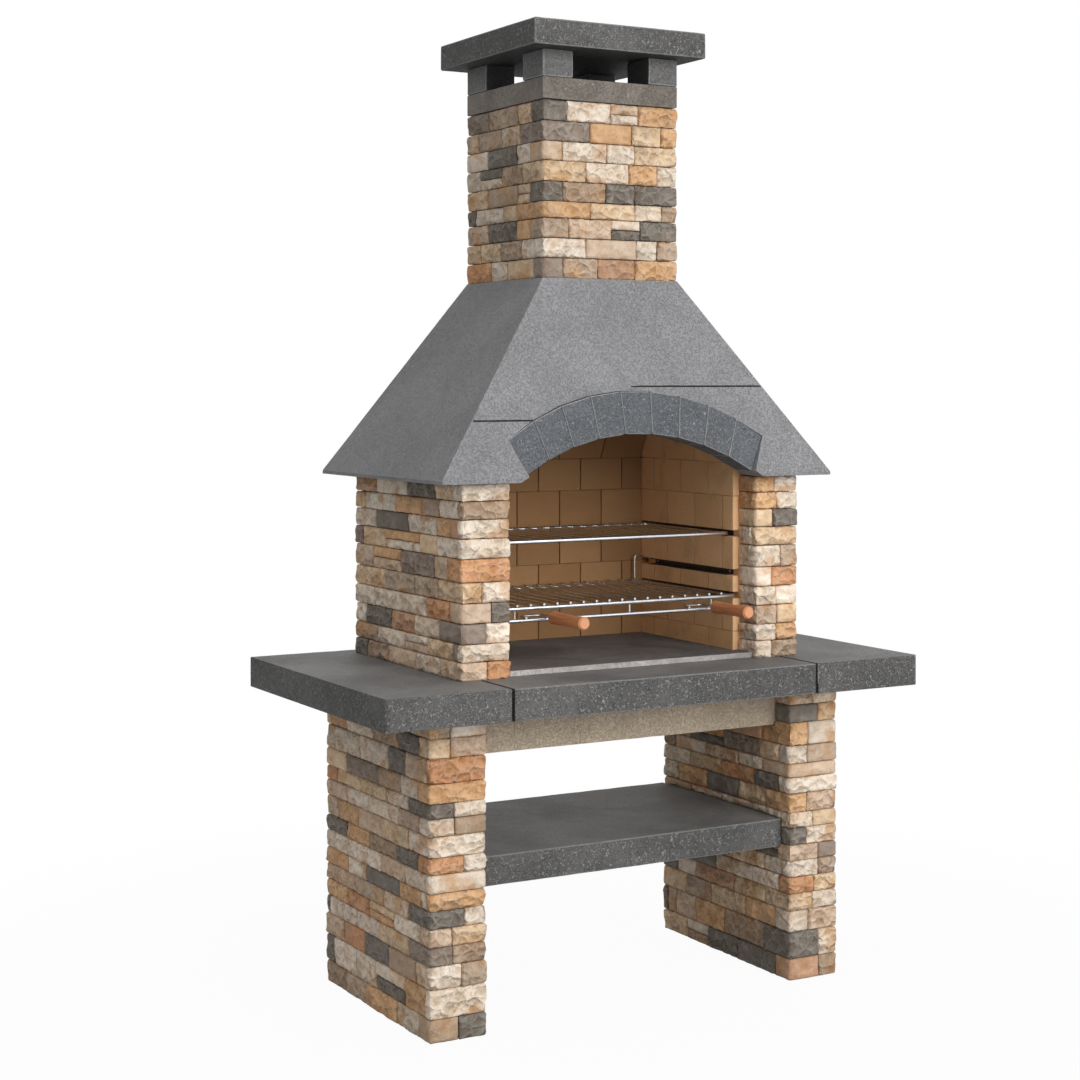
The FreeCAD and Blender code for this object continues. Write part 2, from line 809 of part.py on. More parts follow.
def grates(nodes):
    """Both grates, and the lower one's front rod, struts and upright."""
    nodes["upper_grate_frame"] = [grate_frame(upper_grate_front, upper_rod)]
    nodes["upper_grate_bars"] = bars_inside(upper_grate_front, upper_rod)
    nodes["lower_grate_frame"] = [grate_frame(lower_grate_front, lower_rod)]
    nodes["lower_grate_bars"] = bars_across(lower_grate_front, lower_rod)
    brace_start = vec(BRACE_LEFT, lower_grate_front, brace_level)
    brace_end = vec(BRACE_RIGHT, lower_grate_front, brace_level)
    nodes["lower_grate_brace"] = [rod(brace_start, brace_end, BRACE_ROD)]
    strut_bottom = brace_level + BRACE_ROD / 2 + WELD_GAP
    strut_top = lower_rod - FRAME_ROD / 2 - WELD_GAP
    nodes["lower_grate_struts"] = [
        rod(vec(x, lower_grate_front, strut_bottom), vec(x, lower_grate_front, strut_top), STRUT_ROD)
        for x in STRUT_PLACES
    ]
    foot = lower_rod + FRAME_ROD / 2 + WELD_GAP
    head = foot + UPRIGHT_HEIGHT
    upright = [
        vec(UPRIGHT_PLACE, grate_back, foot),
        vec(UPRIGHT_PLACE, grate_back, head),
        vec(UPRIGHT_PLACE + UPRIGHT_HOOK, grate_back, head),
    ]
    nodes["lower_grate_upright"] = [bent_rod(upright, UPRIGHT_BEND, UPRIGHT_ROD)]


def handle(place):
    """A turned handle with a waist, bored from the back for its wire."""
    end = HANDLE_DIAMETER / 2
    waist = HANDLE_WAIST / 2
    bore = TANG_ROD / 2 + TANG_CLEAR
    front = handle_back - HANDLE_LENGTH
    middle = handle_back - HANDLE_WAIST_PLACE
    bore_end = handle_back - HANDLE_BORE_DEPTH

    def at(radius, y):
        return vec(place + radius, y, tang_level)

    waisted = Part.BSplineCurve()
    waisted.interpolate(
        [at(end, handle_back - HANDLE_ROUND), at(waist, middle), at(end, front + HANDLE_ROUND)]
    )
    outline = [
        Part.makeLine(at(bore, handle_back), at(end - HANDLE_ROUND, handle_back)),
        Part.makeLine(at(end - HANDLE_ROUND, handle_back), at(end, handle_back - HANDLE_ROUND)),
        waisted.toShape(),
        Part.makeLine(at(end, front + HANDLE_ROUND), at(end - HANDLE_ROUND, front)),
        Part.makeLine(at(end - HANDLE_ROUND, front), at(0, front)),
        Part.makeLine(at(0, front), at(0, bore_end)),
        Part.makeLine(at(0, bore_end), at(bore, bore_end)),
        Part.makeLine(at(bore, bore_end), at(bore, handle_back)),
    ]
    face = Part.Face(Part.Wire(outline))
    return face.revolve(vec(place, 0, tang_level), vec(0, 1, 0), 360)


def handles(nodes):
    """The wooden handles, and the bent wires that join them to the lower grate's second front rod."""
    nodes["handle_wires"] = []
    inside = lower_grate_front + TANG_REACH
    tip = handle_back - HANDLE_BORE_DEPTH + TANG_TIP_GAP
    for name, place in zip(("left", "right"), HANDLE_PLACES):
        points = [
            vec(place, tip, tang_level),
            vec(place, inside, tang_level),
            vec(place - TANG_LOOP, inside, tang_level),
            vec(place - TANG_LOOP, lower_grate_front - FRAME_ROD, tang_level),
        ]
        nodes["handle_wires"].append(bent_rod(points, TANG_BEND, TANG_ROD))
        nodes[f"{name}_handle"] = [handle(place)]


def arch_point(radius, angle, centre):
    return (radius * math.sin(angle), centre + radius * math.cos(angle))


def hood(nodes):
    """The hood's panels, mitred in plan at the hips, and the arch in the front."""
    rim = (-hood_side, hood_side, hood_front, hood_back)
    crown = (-chimney_side, chimney_side, chimney_front, chimney_back)
    hollow = frustum(
        (-hollow_side, hollow_side, hollow_front, hollow_back),
        hood_bottom,
        (-flue_side, flue_side, flue_front, flue_back),
        hood_top,
    )
    lip_top = hood_bottom + HOOD_LIP
    outside = box(*rim, hood_bottom, lip_top).fuse(frustum(rim, lip_top, crown, hood_top))
    shell = outside.cut(hollow)

    crown_level = hood_bottom + ARCH_RISE
    under_centre = crown_level - ARCH_RADIUS
    over_centre = crown_level + ARCH_RING - ARCH_BACK_RADIUS
    under_angle = math.acos((hood_bottom + ARCH_FOOT - under_centre) / ARCH_RADIUS)
    over_angle = math.acos((hood_bottom + ARCH_SHOULDER - over_centre) / ARCH_BACK_RADIUS)
    shares = [2 * index / ARCH_STONES - 1 for index in range(ARCH_STONES + 1)]
    foot = arch_point(ARCH_RADIUS, under_angle, under_centre)
    spring = foot[0] + ARCH_SPRING
    back_edge = [
        arch_point(ARCH_BACK_RADIUS + ARCH_JOINT, share * over_angle, over_centre) for share in shares
    ]
    left_foot = [(-spring, hood_bottom), (-foot[0], foot[1])]
    right_foot = [(foot[0], foot[1]), (spring, hood_bottom)]
    opening = front_prism(left_foot + back_edge + right_foot, hood_front, 0)
    shell = shell.cut(opening)

    front_apex = hood_front + hood_side * (chimney_front - hood_front) / (hood_side - chimney_side)
    back_apex = hood_back - hood_side * (hood_back - chimney_back) / (hood_side - chimney_side)
    left_front, right_front, right_back, left_back = rectangle(*rim)
    plans = {
        "front": [left_front, right_front, (0, front_apex)],
        "hood_right_panel": [right_front, right_back, (0, back_apex), (0, front_apex)],
        "hood_back_panel": [right_back, left_back, (0, back_apex)],
        "hood_left_panel": [left_back, left_front, (0, front_apex), (0, back_apex)],
    }
    panels = {name: shell.common(plan_prism(plan, hood_bottom, hood_top)) for name, plan in plans.items()}
    front = panels.pop("front")
    for name, panel in panels.items():
        nodes[name] = panel.Solids

    left_top = hood_bottom + LEFT_SEAM
    right_top = hood_bottom + RIGHT_SEAM
    left_room = box(-hood_side, 0, hood_front, 0, hood_bottom, left_top)
    right_room = box(0, hood_side, hood_front, 0, hood_bottom, right_top)
    seam_left = box(-hood_side, 0, hood_front, 0, hood_bottom, left_top + SEAM_GAP)
    seam_right = box(-SEAM_GAP, hood_side, hood_front, 0, hood_bottom, right_top + SEAM_GAP)
    nodes["hood_front_left_panel"] = front.common(left_room).Solids
    nodes["hood_front_right_panel"] = front.common(right_room).Solids
    nodes["hood_front_upper_panel"] = front.cut(seam_left).cut(seam_right).Solids

    slope = (chimney_front - hood_front) / (hood_top - lip_top)
    flush = hood_front + slope * (crown_level - lip_top)
    low_face = flush - ARCH_LEAN * slope * (crown_level - hood_bottom)
    high_face = flush + ARCH_LEAN * slope * (hood_top - crown_level)
    profile = [(low_face, hood_bottom), (0, hood_bottom), (0, hood_top), (high_face, hood_top)]
    ring = prism([vec(-hood_side, y, z) for y, z in profile], vec(2 * hood_side, 0, 0)).cut(hollow)
    half_joint = ARCH_JOINT / 2 / ARCH_RADIUS
    stones = []
    for start, end in zip(shares, shares[1:]):
        outline = [
            arch_point(ARCH_RADIUS, start * under_angle + half_joint, under_centre),
            arch_point(ARCH_BACK_RADIUS, start * over_angle + half_joint, over_centre),
            arch_point(ARCH_BACK_RADIUS, end * over_angle - half_joint, over_centre),
            arch_point(ARCH_RADIUS, end * under_angle - half_joint, under_centre),
        ]
        stones.append(front_prism(outline, hood_front, 0).common(ring).Solids[0])
    nodes["arch_keystone"] = [stones.pop(ARCH_STONES // 2)]
    nodes["arch_voussoirs"] = stones


def chimney(nodes):
    """Flue blocks, stones, collar, pillars and cap."""
    outer = (-block_side, block_side, chimney_front + STONE_THICK, chimney_back - STONE_THICK)
    flue = (-flue_side, flue_side, flue_front, flue_back)
    height = CHIMNEY_HEIGHT / len(FLUE_BLOCKS)
    for index, name in enumerate(FLUE_BLOCKS):
        level = hood_top + index * height
        nodes[f"{name}_flue_block"] = [ring_block(outer, flue, level, level + height)]
    footprint = (-chimney_side, chimney_side, chimney_front, chimney_back)
    stones = Cladding(rectangle(*footprint), True, CHIMNEY_SEED)
    stones.lay(hood_top, chimney_top, CHIMNEY_COURSES)
    nodes["chimney_corner_stones"] = stones.corner_stones
    nodes["chimney_field_stones"] = stones.field_stones
    nodes["chimney_collar"] = [ring_block(footprint, flue, chimney_top, collar_top)]
    pillars = []
    for x in (-chimney_side, chimney_side - PILLAR_WIDTH):
        for y in (chimney_front, chimney_back - PILLAR_DEPTH):
            pillars.append(box(x, x + PILLAR_WIDTH, y, y + PILLAR_DEPTH, collar_top, cap_bottom))
    nodes["cap_pillars"] = pillars
    nodes["chimney_cap"] = [
        box(
            -chimney_side - CAP_OVERHANG,
            chimney_side + CAP_OVERHANG,
            chimney_front - CAP_OVERHANG,
            chimney_back + CAP_OVERHANG,
            cap_bottom,
            cap_bottom + CAP_THICK,
        )
    ]


def build():
    """Every node of the barbecue, as a list of solids under its name."""
    nodes = {}
    steps = (legs, shelf, support, worktop, firebox_walls, lining, rails, grates, handles, hood, chimney)
    for make in steps:
        make(nodes)
    return nodes


def export(nodes):
    os.makedirs("parts", exist_ok=True)
    for name, solids in nodes.items():
        shape = solids[0] if len(solids) == 1 else Part.makeCompound(solids)
        shape.exportStep(os.path.join("parts", name + ".step"))
        print(name, len(solids), "valid" if shape.isValid() else "not valid")


export(build())
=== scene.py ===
"""Dresses the masonry barbecue: split stone, cast slabs, firebrick, grates and a plain studio."""

import logging
import math
import random
from dataclasses import dataclass, field, replace
from enum import Enum
from typing import Any, Sequence

import bmesh
import bpy
from bmesh.types import BMEdge, BMesh, BMFace, BMVert
from bpy.types import ID, Material, Mesh, NodeSocket, Object, Scene, World
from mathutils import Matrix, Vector, noise


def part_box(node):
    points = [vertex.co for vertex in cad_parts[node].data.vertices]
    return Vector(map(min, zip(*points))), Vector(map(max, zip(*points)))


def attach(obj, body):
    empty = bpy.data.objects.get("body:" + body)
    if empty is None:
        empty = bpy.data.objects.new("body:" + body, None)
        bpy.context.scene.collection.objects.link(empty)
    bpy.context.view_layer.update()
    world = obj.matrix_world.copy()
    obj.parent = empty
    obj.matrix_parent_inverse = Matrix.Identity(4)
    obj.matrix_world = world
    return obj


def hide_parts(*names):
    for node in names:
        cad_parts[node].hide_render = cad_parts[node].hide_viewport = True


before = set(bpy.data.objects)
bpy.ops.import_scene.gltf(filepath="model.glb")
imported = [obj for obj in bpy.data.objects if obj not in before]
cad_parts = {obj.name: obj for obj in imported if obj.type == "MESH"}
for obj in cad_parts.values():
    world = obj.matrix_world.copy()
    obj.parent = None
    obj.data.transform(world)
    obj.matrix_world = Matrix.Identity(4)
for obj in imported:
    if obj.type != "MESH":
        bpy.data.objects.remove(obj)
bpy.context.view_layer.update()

Span = tuple[float, float]
Triple = tuple[float, float, float]
Colour = Triple

# Metres within which two points are one, and within which a point lies on a plane
TOUCH = 2e-5
ON_PLANE = 1e-4
# The turn up to which two faces count as one
FLAT = math.radians(0.3)
# The step in blue below which two stones look alike
ALIKE = 22
# How many waves, bowls, scallops and bends of its ridge a metre of split stone holds
WAVES, BOWLS, SCALLOPS, BENDS = 38, 36, 88, 45
LEVEL: Triple = (1.0, 1.0, 0.0)
WHITE: Colour = (1.0, 1.0, 1.0)
log = logging.getLogger("barbecue")


class Body(Enum):
    """The bodies that pieces ride on."""

    MASONRY = "barbecue"
    UPPER_GRATE = "upper_grate"
    LOWER_GRATE = "lower_grate"


def paint(red: int, green: int, blue: int) -> Colour:
    """A colour as seen on a screen, turned to the linear values that shaders take.

    Args:
        red, green, blue: The screen values, 0 to 255.

    Returns:
        The linear colour.
    """
    shares = [value / 255 for value in (red, green, blue)]
    return tuple(s / 12.92 if s <= 0.04045 else ((s + 0.055) / 1.055) ** 2.4 for s in shares)


def scaled(colour: Colour, factor: float) -> Colour:
    """A colour made lighter or darker by a factor."""
    return tuple(part * factor for part in colour)


class Wire:
    """An output socket on which arithmetic adds Math nodes."""

    def __init__(self, graph: "Graph", socket: NodeSocket) -> None:
        """Keeps the socket and the graph that it belongs to."""
        self.graph = graph
        self.socket = socket

    def _math(self, operation: str, left: Any, right: Any) -> "Wire":
        """The result of a Math node on two values."""
        return self.graph.node("Math", {0: left, 1: right}, operation=operation)

    def __add__(self, other: Any) -> "Wire":
        """Sum."""
        return self._math("ADD", self, other)

    __radd__ = __add__

    def __mul__(self, other: Any) -> "Wire":
        """Product."""
        return self._math("MULTIPLY", self, other)

    __rmul__ = __mul__

    def __sub__(self, other: Any) -> "Wire":
        """Difference."""
        return self._math("SUBTRACT", self, other)

    def __rsub__(self, other: Any) -> "Wire":
        """Difference from a number."""
        return self._math("SUBTRACT", other, self)

    def __abs__(self) -> "Wire":
        """Size without sign."""
        return self.graph.node("Math", {0: self}, operation="ABSOLUTE")

    def step(self, low: float, high: float) -> "Wire":
        """A smooth step from 0 at low to 1 at high."""
        sockets = {0: self, 1: low, 2: high, 3: 0.0, 4: 1.0}
        return self.graph.node("MapRange", sockets, interpolation_type="SMOOTHSTEP")


class Graph:
    """The nodes of one material or world."""

    def __init__(self, owner: Material | World) -> None:
        """Starts without any nodes.

        Args:
            owner: The material or world that the nodes belong to.
        """
        owner.use_nodes = True
        self.owner = owner
        self.tree = owner.node_tree
        self.tree.nodes.clear()

    @classmethod
    def named(cls, name: str) -> "Graph":
        """The graph of a new material."""
        return cls(bpy.data.materials.new(name))

    def node(self, kind: str, sockets: dict[Any, Any], out: Any = 0, **settings: Any) -> Wire:
        """Adds a node.

        Args:
            kind: The node's type, without ShaderNode in front.
            sockets: Values or wires by the name or number of the input.
            out: The name or number of the output.
            settings: The node's own settings, set first.

        Returns:
            The output's wire.
        """
        made = self.tree.nodes.new(f"ShaderNode{kind}")
        for key, value in settings.items():
            setattr(made, key, value)
        for key, value in sockets.items():
            socket = made.inputs[key]
            if isinstance(value, Wire):
                self.tree.links.new(value.socket, socket)
            elif socket.type == "RGBA":
                socket.default_value = (*value, 1.0)
            else:
                socket.default_value = value
        return Wire(self, made.outputs[out]) if made.outputs else Wire(self, None)

    def place(self) -> Wire:
        """Object coordinates."""
        return self.node("TexCoord", {}, "Object")

    def normal(self) -> Wire:
        """The surface's normal."""
        return self.node("TexCoord", {}, "Normal")

    def facing(self, axis: str) -> Wire:
        """One part of the surface's normal. Z is 1 on a level top."""
        return self.node("SeparateXYZ", {0: self.normal()}, axis)

    def vector(self, operation: str, *values: Any, out: Any = 0) -> Wire:
        """The result of a Vector Math node."""
        return self.node("VectorMath", dict(enumerate(values)), out, operation=operation)

    def attribute(self, name: str, out: str) -> Wire:
        """A value that the mesh carries."""
        return self.node("Attribute", {}, out, attribute_name=name)

    def stretched(self, place: Wire, scale: Triple, move: Sequence[float] = (0, 0, 0)) -> Wire:
        """Coordinates moved and stretched."""
        return self.node("Mapping", {0: place, "Location": move, "Scale": scale})

    def noise(
        self, place: Wire, scale: float, detail: float = 3.0, rough: float = 0.55, warp: float = 0.0
    ) -> Wire:
        """A cloudy pattern from 0 to 1."""
        sockets = {"Scale": scale, "Detail": detail, "Roughness": rough, "Distortion": warp}
        return self.node("TexNoise", {"Vector": place, **sockets})

    def cells(self, place: Wire, scale: float, feature: str = "F1") -> Wire:
        """The distance to the nearest of scattered points, or to the edges between their cells."""
        return self.node("TexVoronoi", {"Vector": place, "Scale": scale}, feature=feature)

    def mix(self, share: Any, first: Any, second: Any, blend: str = "MIX") -> Wire:
        """A share of the second colour laid on the first."""
        sockets = {0: share, 6: first, 7: second}
        return self.node("Mix", sockets, 2, data_type="RGBA", blend_type=blend)

    def times(self, colour: Any, factor: Any) -> Wire:
        """A colour multiplied by another."""
        return self.mix(1.0, colour, factor, "MULTIPLY")

    def bump(self, height: Wire, depth: float) -> Wire:
        """A surface normal from a height of 0 to 1, over a depth in metres."""
        return self.node("Bump", {"Height": height, "Strength": 1.0, "Distance": depth})

    def surface(self, colour: Wire, rough: Any, sockets: dict[str, Any]) -> Material:
        """Ends the material with a Principled shader.

        Args:
            colour: The base colour.
            rough: The roughness.
            sockets: Other values or wires of the shader.

        Returns:
            The material.
        """
        sockets = {"Base Color": colour, "Roughness": rough, **sockets}
        return self.output(self.node("BsdfPrincipled", sockets))

    def output(self, shader: Wire) -> Material:
        """Links a shader to the material's output."""
        self.node("OutputMaterial", {"Surface": shader})
        return self.owner


class StoneColour(Enum):
    """The colours of the split stones, with how often each is laid and how seldom next to its like."""

    CREAM = ((254, 240, 222), 3.4, 0.8)
    IVORY = ((248, 232, 212), 2.8, 0.8)
    BUFF = ((244, 216, 180), 2.6, 0.7)
    SAND = ((230, 204, 178), 2.2, 0.7)
    OCHRE = ((232, 188, 142), 2.6, 0.4)
    ORANGE = ((224, 168, 124), 1.6, 0.3)
    RUST = ((212, 170, 138), 1.4, 0.3)
    MAUVE = ((190, 165, 140), 1.6, 0.3)
    TAUPE = ((202, 180, 158), 2.0, 0.4)
    GREY = ((156, 142, 130), 1.8, 0.25)
    SLATE = ((132, 125, 116), 2.4, 0.2)

    def __init__(self, screen: tuple[int, int, int], often: float, seldom: float) -> None:
        """Keeps the colour, how often it is laid, and the factor for each like stone near it."""
        self.blue = screen[2]
        self.tint = paint(*screen)
        self.often = often
        self.seldom = seldom

    def weight(self, near: Sequence["StoneColour"]) -> float:
        """How likely it is to be laid.

        Args:
            near: The colours of the stones round the place.

        Returns:
            The weight, less for each stone near it of much the same colour.
        """
        like = sum(abs(other.blue - self.blue) < ALIKE for other in near)
        return self.often * self.seldom**like


@dataclass(frozen=True)
class StoneFinish:
    """Split stone in the mesh's own colours, stained and chiselled, with painted shade in its hollows,
    along its edges and under its crests, and painted highlights on its rims and crests.
    """

    name: str = "split_stone"
    stain: Colour = paint(210, 160, 108)
    ash: Colour = paint(158, 138, 122)
    dark: Colour = (0.74, 0.66, 0.57)
    # Multiplier for the painted shade in hollows and along recessed edges, and for darker grain
    shade: Colour = (0.60, 0.49, 0.38)
    # Multiplier for the painted shadow just below each crest
    ridge_shadow_tone: Colour = (0.44, 0.34, 0.25)
    # Added for paler cloudy patches, and for the painted highlights on bowl rims and crests
    pale: Colour = (0.15, 0.14, 0.125)
    roughness: float = 0.86
    chisel_depth: float = 0.014
    scoops: float = 28.0
    scoop_shape: Triple = (1.0, 1.0, 1.4)
    warp: float = 0.02

    def material(self) -> Material:
        """Builds the material."""
        graph = Graph.named(self.name)
        place = graph.vector("ADD", graph.place(), graph.attribute("chance", "Vector"))
        tint = graph.attribute("tint", "Color")
        relief = graph.attribute("relief", "Fac")
        chisel = graph.attribute("chisel", "Fac")
        clouds = graph.noise(place, 22.0, 4.0, 0.6, 0.6)
        patches = graph.noise(place, 13.0, 3.0, 0.5, 0.3)
        grain = graph.noise(place, 190.0, 5.0, 0.7)
        chips = graph.noise(place, 62.0, 3.0, 0.55, 0.25)
        bright = graph.node("RGBToBW", {0: tint})
        swirl = graph.node("TexNoise", {"Vector": place, "Scale": 40.0}, "Color")
        warped = graph.vector("MULTIPLY_ADD", swirl, (self.warp,) * 3, place)
        dish = graph.cells(graph.stretched(warped, self.scoop_shape), self.scoops)
        bowls = dish * dish
        broken = chips.step(0.40, 0.54) * chisel
        # Bands for a painted highlight along each crest and a painted shadow just below it
        ridge_highlight = self.creases(graph, warped, 0.0, 0.11) * broken
        ridge_shadow = self.creases(graph, warped, 0.007, 0.26) * broken
        colour = graph.mix(patches.step(0.50, 0.68) * bright.step(0.22, 0.5) * 0.7, tint, self.stain)
        colour = graph.mix(patches.step(0.44, 0.30) * 0.35, colour, self.ash)
        dark = graph.times(colour, self.dark)
        colour = graph.mix(clouds.step(0.56, 0.30) * 0.7, colour, dark)
        pale = graph.mix(1.0, colour, self.pale, "ADD")
        colour = graph.mix(clouds.step(0.54, 0.75) * 0.6, colour, pale)
        shade = graph.times(colour, self.shade)
        # Painted shade in the bowls' hollows and a painted highlight on their rims
        colour = graph.mix(bowls.step(0.16, 0.0) * chisel * 0.55, colour, shade)
        colour = graph.mix(bowls.step(0.34, 0.6) * chisel * 0.5, colour, pale)
        # Painted shade where the stone stands back: its rounded edges and hollows
        colour = graph.mix(relief.step(0.72, 0.12) * 0.6, colour, shade)
        colour = graph.mix(grain.step(0.60, 0.35) * 0.2, colour, shade)
        # Painted shadow below the crests, then painted highlight along them
        colour = graph.mix(ridge_shadow * 0.5, colour, graph.times(colour, self.ridge_shadow_tone))
        colour = graph.mix(ridge_highlight * 0.6, colour, pale)
        height = (bowls + chips * 0.35) * chisel + chips * 0.15 + grain * 0.1
        bump = graph.bump(height, self.chisel_depth)
        return graph.surface(colour, self.roughness, {"Normal": bump})

    def creases(self, graph: Graph, place: Wire, below: float, width: float) -> Wire:
        """Bands along the crests between scoops, or a little below them."""
        spot = graph.stretched(place, self.scoop_shape, (0.0, 0.0, below))
        return graph.cells(spot, self.scoops, "DISTANCE_TO_EDGE").step(width, 0.02)


@dataclass(frozen=True)
class CastFinish:
    """Cast concrete: mottling, pits, curled flecks with a painted shadow beside each, a painted
    highlight and painted shade on the arrises, sides painted lighter or darker than the top, and
    painted shade towards the flue.
    """

    name: str
    base: Colour
    fleck: Colour
    flecks: float = 0.5
    top_flecks: float = 0.3
    mottle: float = 0.2
    # A painted highlight along the arrises, broken up like rubbed wear
    rubbed_highlight: Colour = paint(176, 176, 176)
    # How strong the painted arris highlight is
    arris: float = 0.5
    # Painted shade on the arris chamfers that face +X
    arris_shadow: float = 0.0
    # The sides' tone against the top's, as painted light: a lit and a shaded copy of one colour
    painted_side_light: float = 1.0
    curl: float = 0.008
    roughness: float = 0.72
    top_roughness: float = 0.72
    shine: float = 0.5
    depth: float = 0.0012
    tinted: bool = False
    # Painted shade on faces that look down or in towards the flue
    painted_flue_shade: float = 0.0
    flue: Triple = (0.0, 0.0, 0.0)
    # Darkens fine pits and paints a shadow beside each curled fleck
    pit_and_shadow: Colour = (0.55, 0.55, 0.55)
    seam_tone: float = 0.1
    shadow_tone: float = 0.12
    flue_shade_tone: float = 0.08

    def material(self) -> Material:
        """Builds the material."""
        graph = Graph.named(self.name)
        place = graph.place()
        broad = graph.noise(place, 4.5, 4.0, 0.6, 0.4)
        fine = graph.noise(place, 2.2 / self.curl, 3.0, 0.65)
        swirls = graph.noise(place, 1.0 / self.curl, 1.0, 0.4, 0.9)
        patches = graph.noise(place, 0.9 / self.curl, 0.0).step(0.24, 0.44)
        curls = abs(swirls - 0.5).step(0.045, 0.008) * patches
        # A painted shadow beside each curled fleck, also sunk in the bump
        curl_shadows = abs(swirls - 0.57).step(0.05, 0.01) * patches
        base: Any = self.base
        if self.tinted:
            base = graph.times(base, graph.attribute("tint", "Color"))
        side = 1 - graph.facing("Z").step(0.55, 0.9)
        # Sides painted lighter or darker than the top, standing for how the light falls
        if self.painted_side_light != 1.0:
            base = graph.mix(side, base, scaled(self.base, self.painted_side_light))
        dark = graph.times(base, (1 - self.mottle,) * 3)
        light = graph.times(base, (1 + self.mottle,) * 3)
        colour = graph.mix(broad.step(0.34, 0.66), dark, light)
        pit_and_shadow = graph.times(colour, self.pit_and_shadow)
        colour = graph.mix(fine.step(0.46, 0.28) * 0.6, colour, pit_and_shadow)
        share = side * (self.flecks - self.top_flecks) + self.top_flecks
        colour = graph.mix(curl_shadows * share, colour, pit_and_shadow)
        colour = graph.mix(curls * share, colour, self.fleck)
        worn = graph.attribute("arris", "Fac")
        # A painted highlight on the worn arrises, broken up like rubbed wear; seams stay dark
        colour = graph.mix(worn.step(0.5, 1.0) * fine.step(0.2, 0.55) * self.arris, colour, self.rubbed_highlight)
        colour = graph.mix(worn.step(-0.5, -1.0), colour, scaled(self.base, self.seam_tone))
        # Painted shade on the arris chamfers that face +X
        if self.arris_shadow:
            turned = worn * graph.facing("X").step(0.1, 0.4)
            colour = graph.mix(turned * self.arris_shadow, colour, scaled(self.base, self.shadow_tone))
        # Painted shade on the faces that look down or in towards the flue
        if self.painted_flue_shade:
            share = self.inward(graph) * self.painted_flue_shade
            colour = graph.mix(share, colour, scaled(self.base, self.flue_shade_tone))
        height = fine * 0.5 + (curls - curl_shadows) * 0.5
        rough = fine * 0.16 + side * (self.roughness - self.top_roughness) + (self.top_roughness - 0.08)
        bump = graph.bump(height, self.depth)
        return graph.surface(colour, rough, {"Specular IOR Level": self.shine, "Normal": bump})

    def inward(self, graph: Graph) -> Wire:
        """1 on faces that look down, or in towards the flue's axis."""
        level = graph.stretched(graph.vector("SUBTRACT", graph.place(), self.flue), LEVEL)
        away = graph.vector("DOT_PRODUCT", graph.normal(), level, out="Value")
        inner = away.step(0.02, -0.04) * (1 - abs(graph.facing("Z")).step(0.4, 0.8))
        return inner + graph.facing("Z").step(-0.6, -0.9)


@dataclass(frozen=True)
class BrickFinish:
    """Firebrick: each brick's tint, lighter on the side linings and darker at the back as painted light
    and shade, sandy grain, faint soot and dark pointing along the arrises.
    """

    name: str = "firebrick"
    roughness: float = 0.88
    soot: Colour = paint(140, 104, 70)
    pointing: Colour = paint(96, 68, 44)
    lit: Colour = (1.14, 1.12, 1.08)
    dark: Colour = (0.70, 0.68, 0.66)
    shine: float = 0.2
    depth: float = 0.0012

    def material(self) -> Material:
        """Builds the material."""
        graph = Graph.named(self.name)
        place = graph.place()
        tint = graph.attribute("tint", "Color")
        clouds = graph.noise(place, 9.0, 4.0, 0.6, 0.5)
        grain = graph.noise(place, 260.0, 4.0, 0.7)
        specks = graph.noise(place, 120.0, 2.0, 0.5)
        colour = graph.mix(clouds.step(0.50, 0.28) * 0.25, tint, self.soot)
        colour = graph.mix(clouds.step(0.55, 0.75) * 0.7, colour, graph.times(colour, self.lit))
        dark = graph.times(colour, self.dark)
        colour = graph.mix(grain.step(0.50, 0.30) * 0.5, colour, dark)
        colour = graph.mix(specks.step(0.66, 0.74) * 0.4, colour, dark)
        joint = graph.attribute("arris", "Fac") * clouds.step(0.34, 0.54)
        colour = graph.mix(joint * 0.4, colour, self.pointing)
        bump = graph.bump(grain, self.depth)
        return graph.surface(colour, self.roughness, {"Specular IOR Level": self.shine, "Normal": bump})


@dataclass(frozen=True)
class MetalFinish:
    """Plated or blacked metal with faint handling marks."""

    name: str
    base: Colour
    marks: Colour
    metallic: float
    roughness: float
    spread: float

    def material(self) -> Material:
        """Builds the material."""
        graph = Graph.named(self.name)
        place = graph.place()
        smears = graph.noise(place, 34.0, 4.0, 0.6, 0.8)
        grain = graph.noise(place, 420.0, 2.0, 0.6)
        colour = graph.mix(smears.step(0.52, 0.72) * 0.6, self.base, self.marks)
        rough = smears * self.spread + grain * (self.spread / 2) + (self.roughness - self.spread * 0.75)
        return graph.surface(colour, rough, {"Metallic": self.metallic})


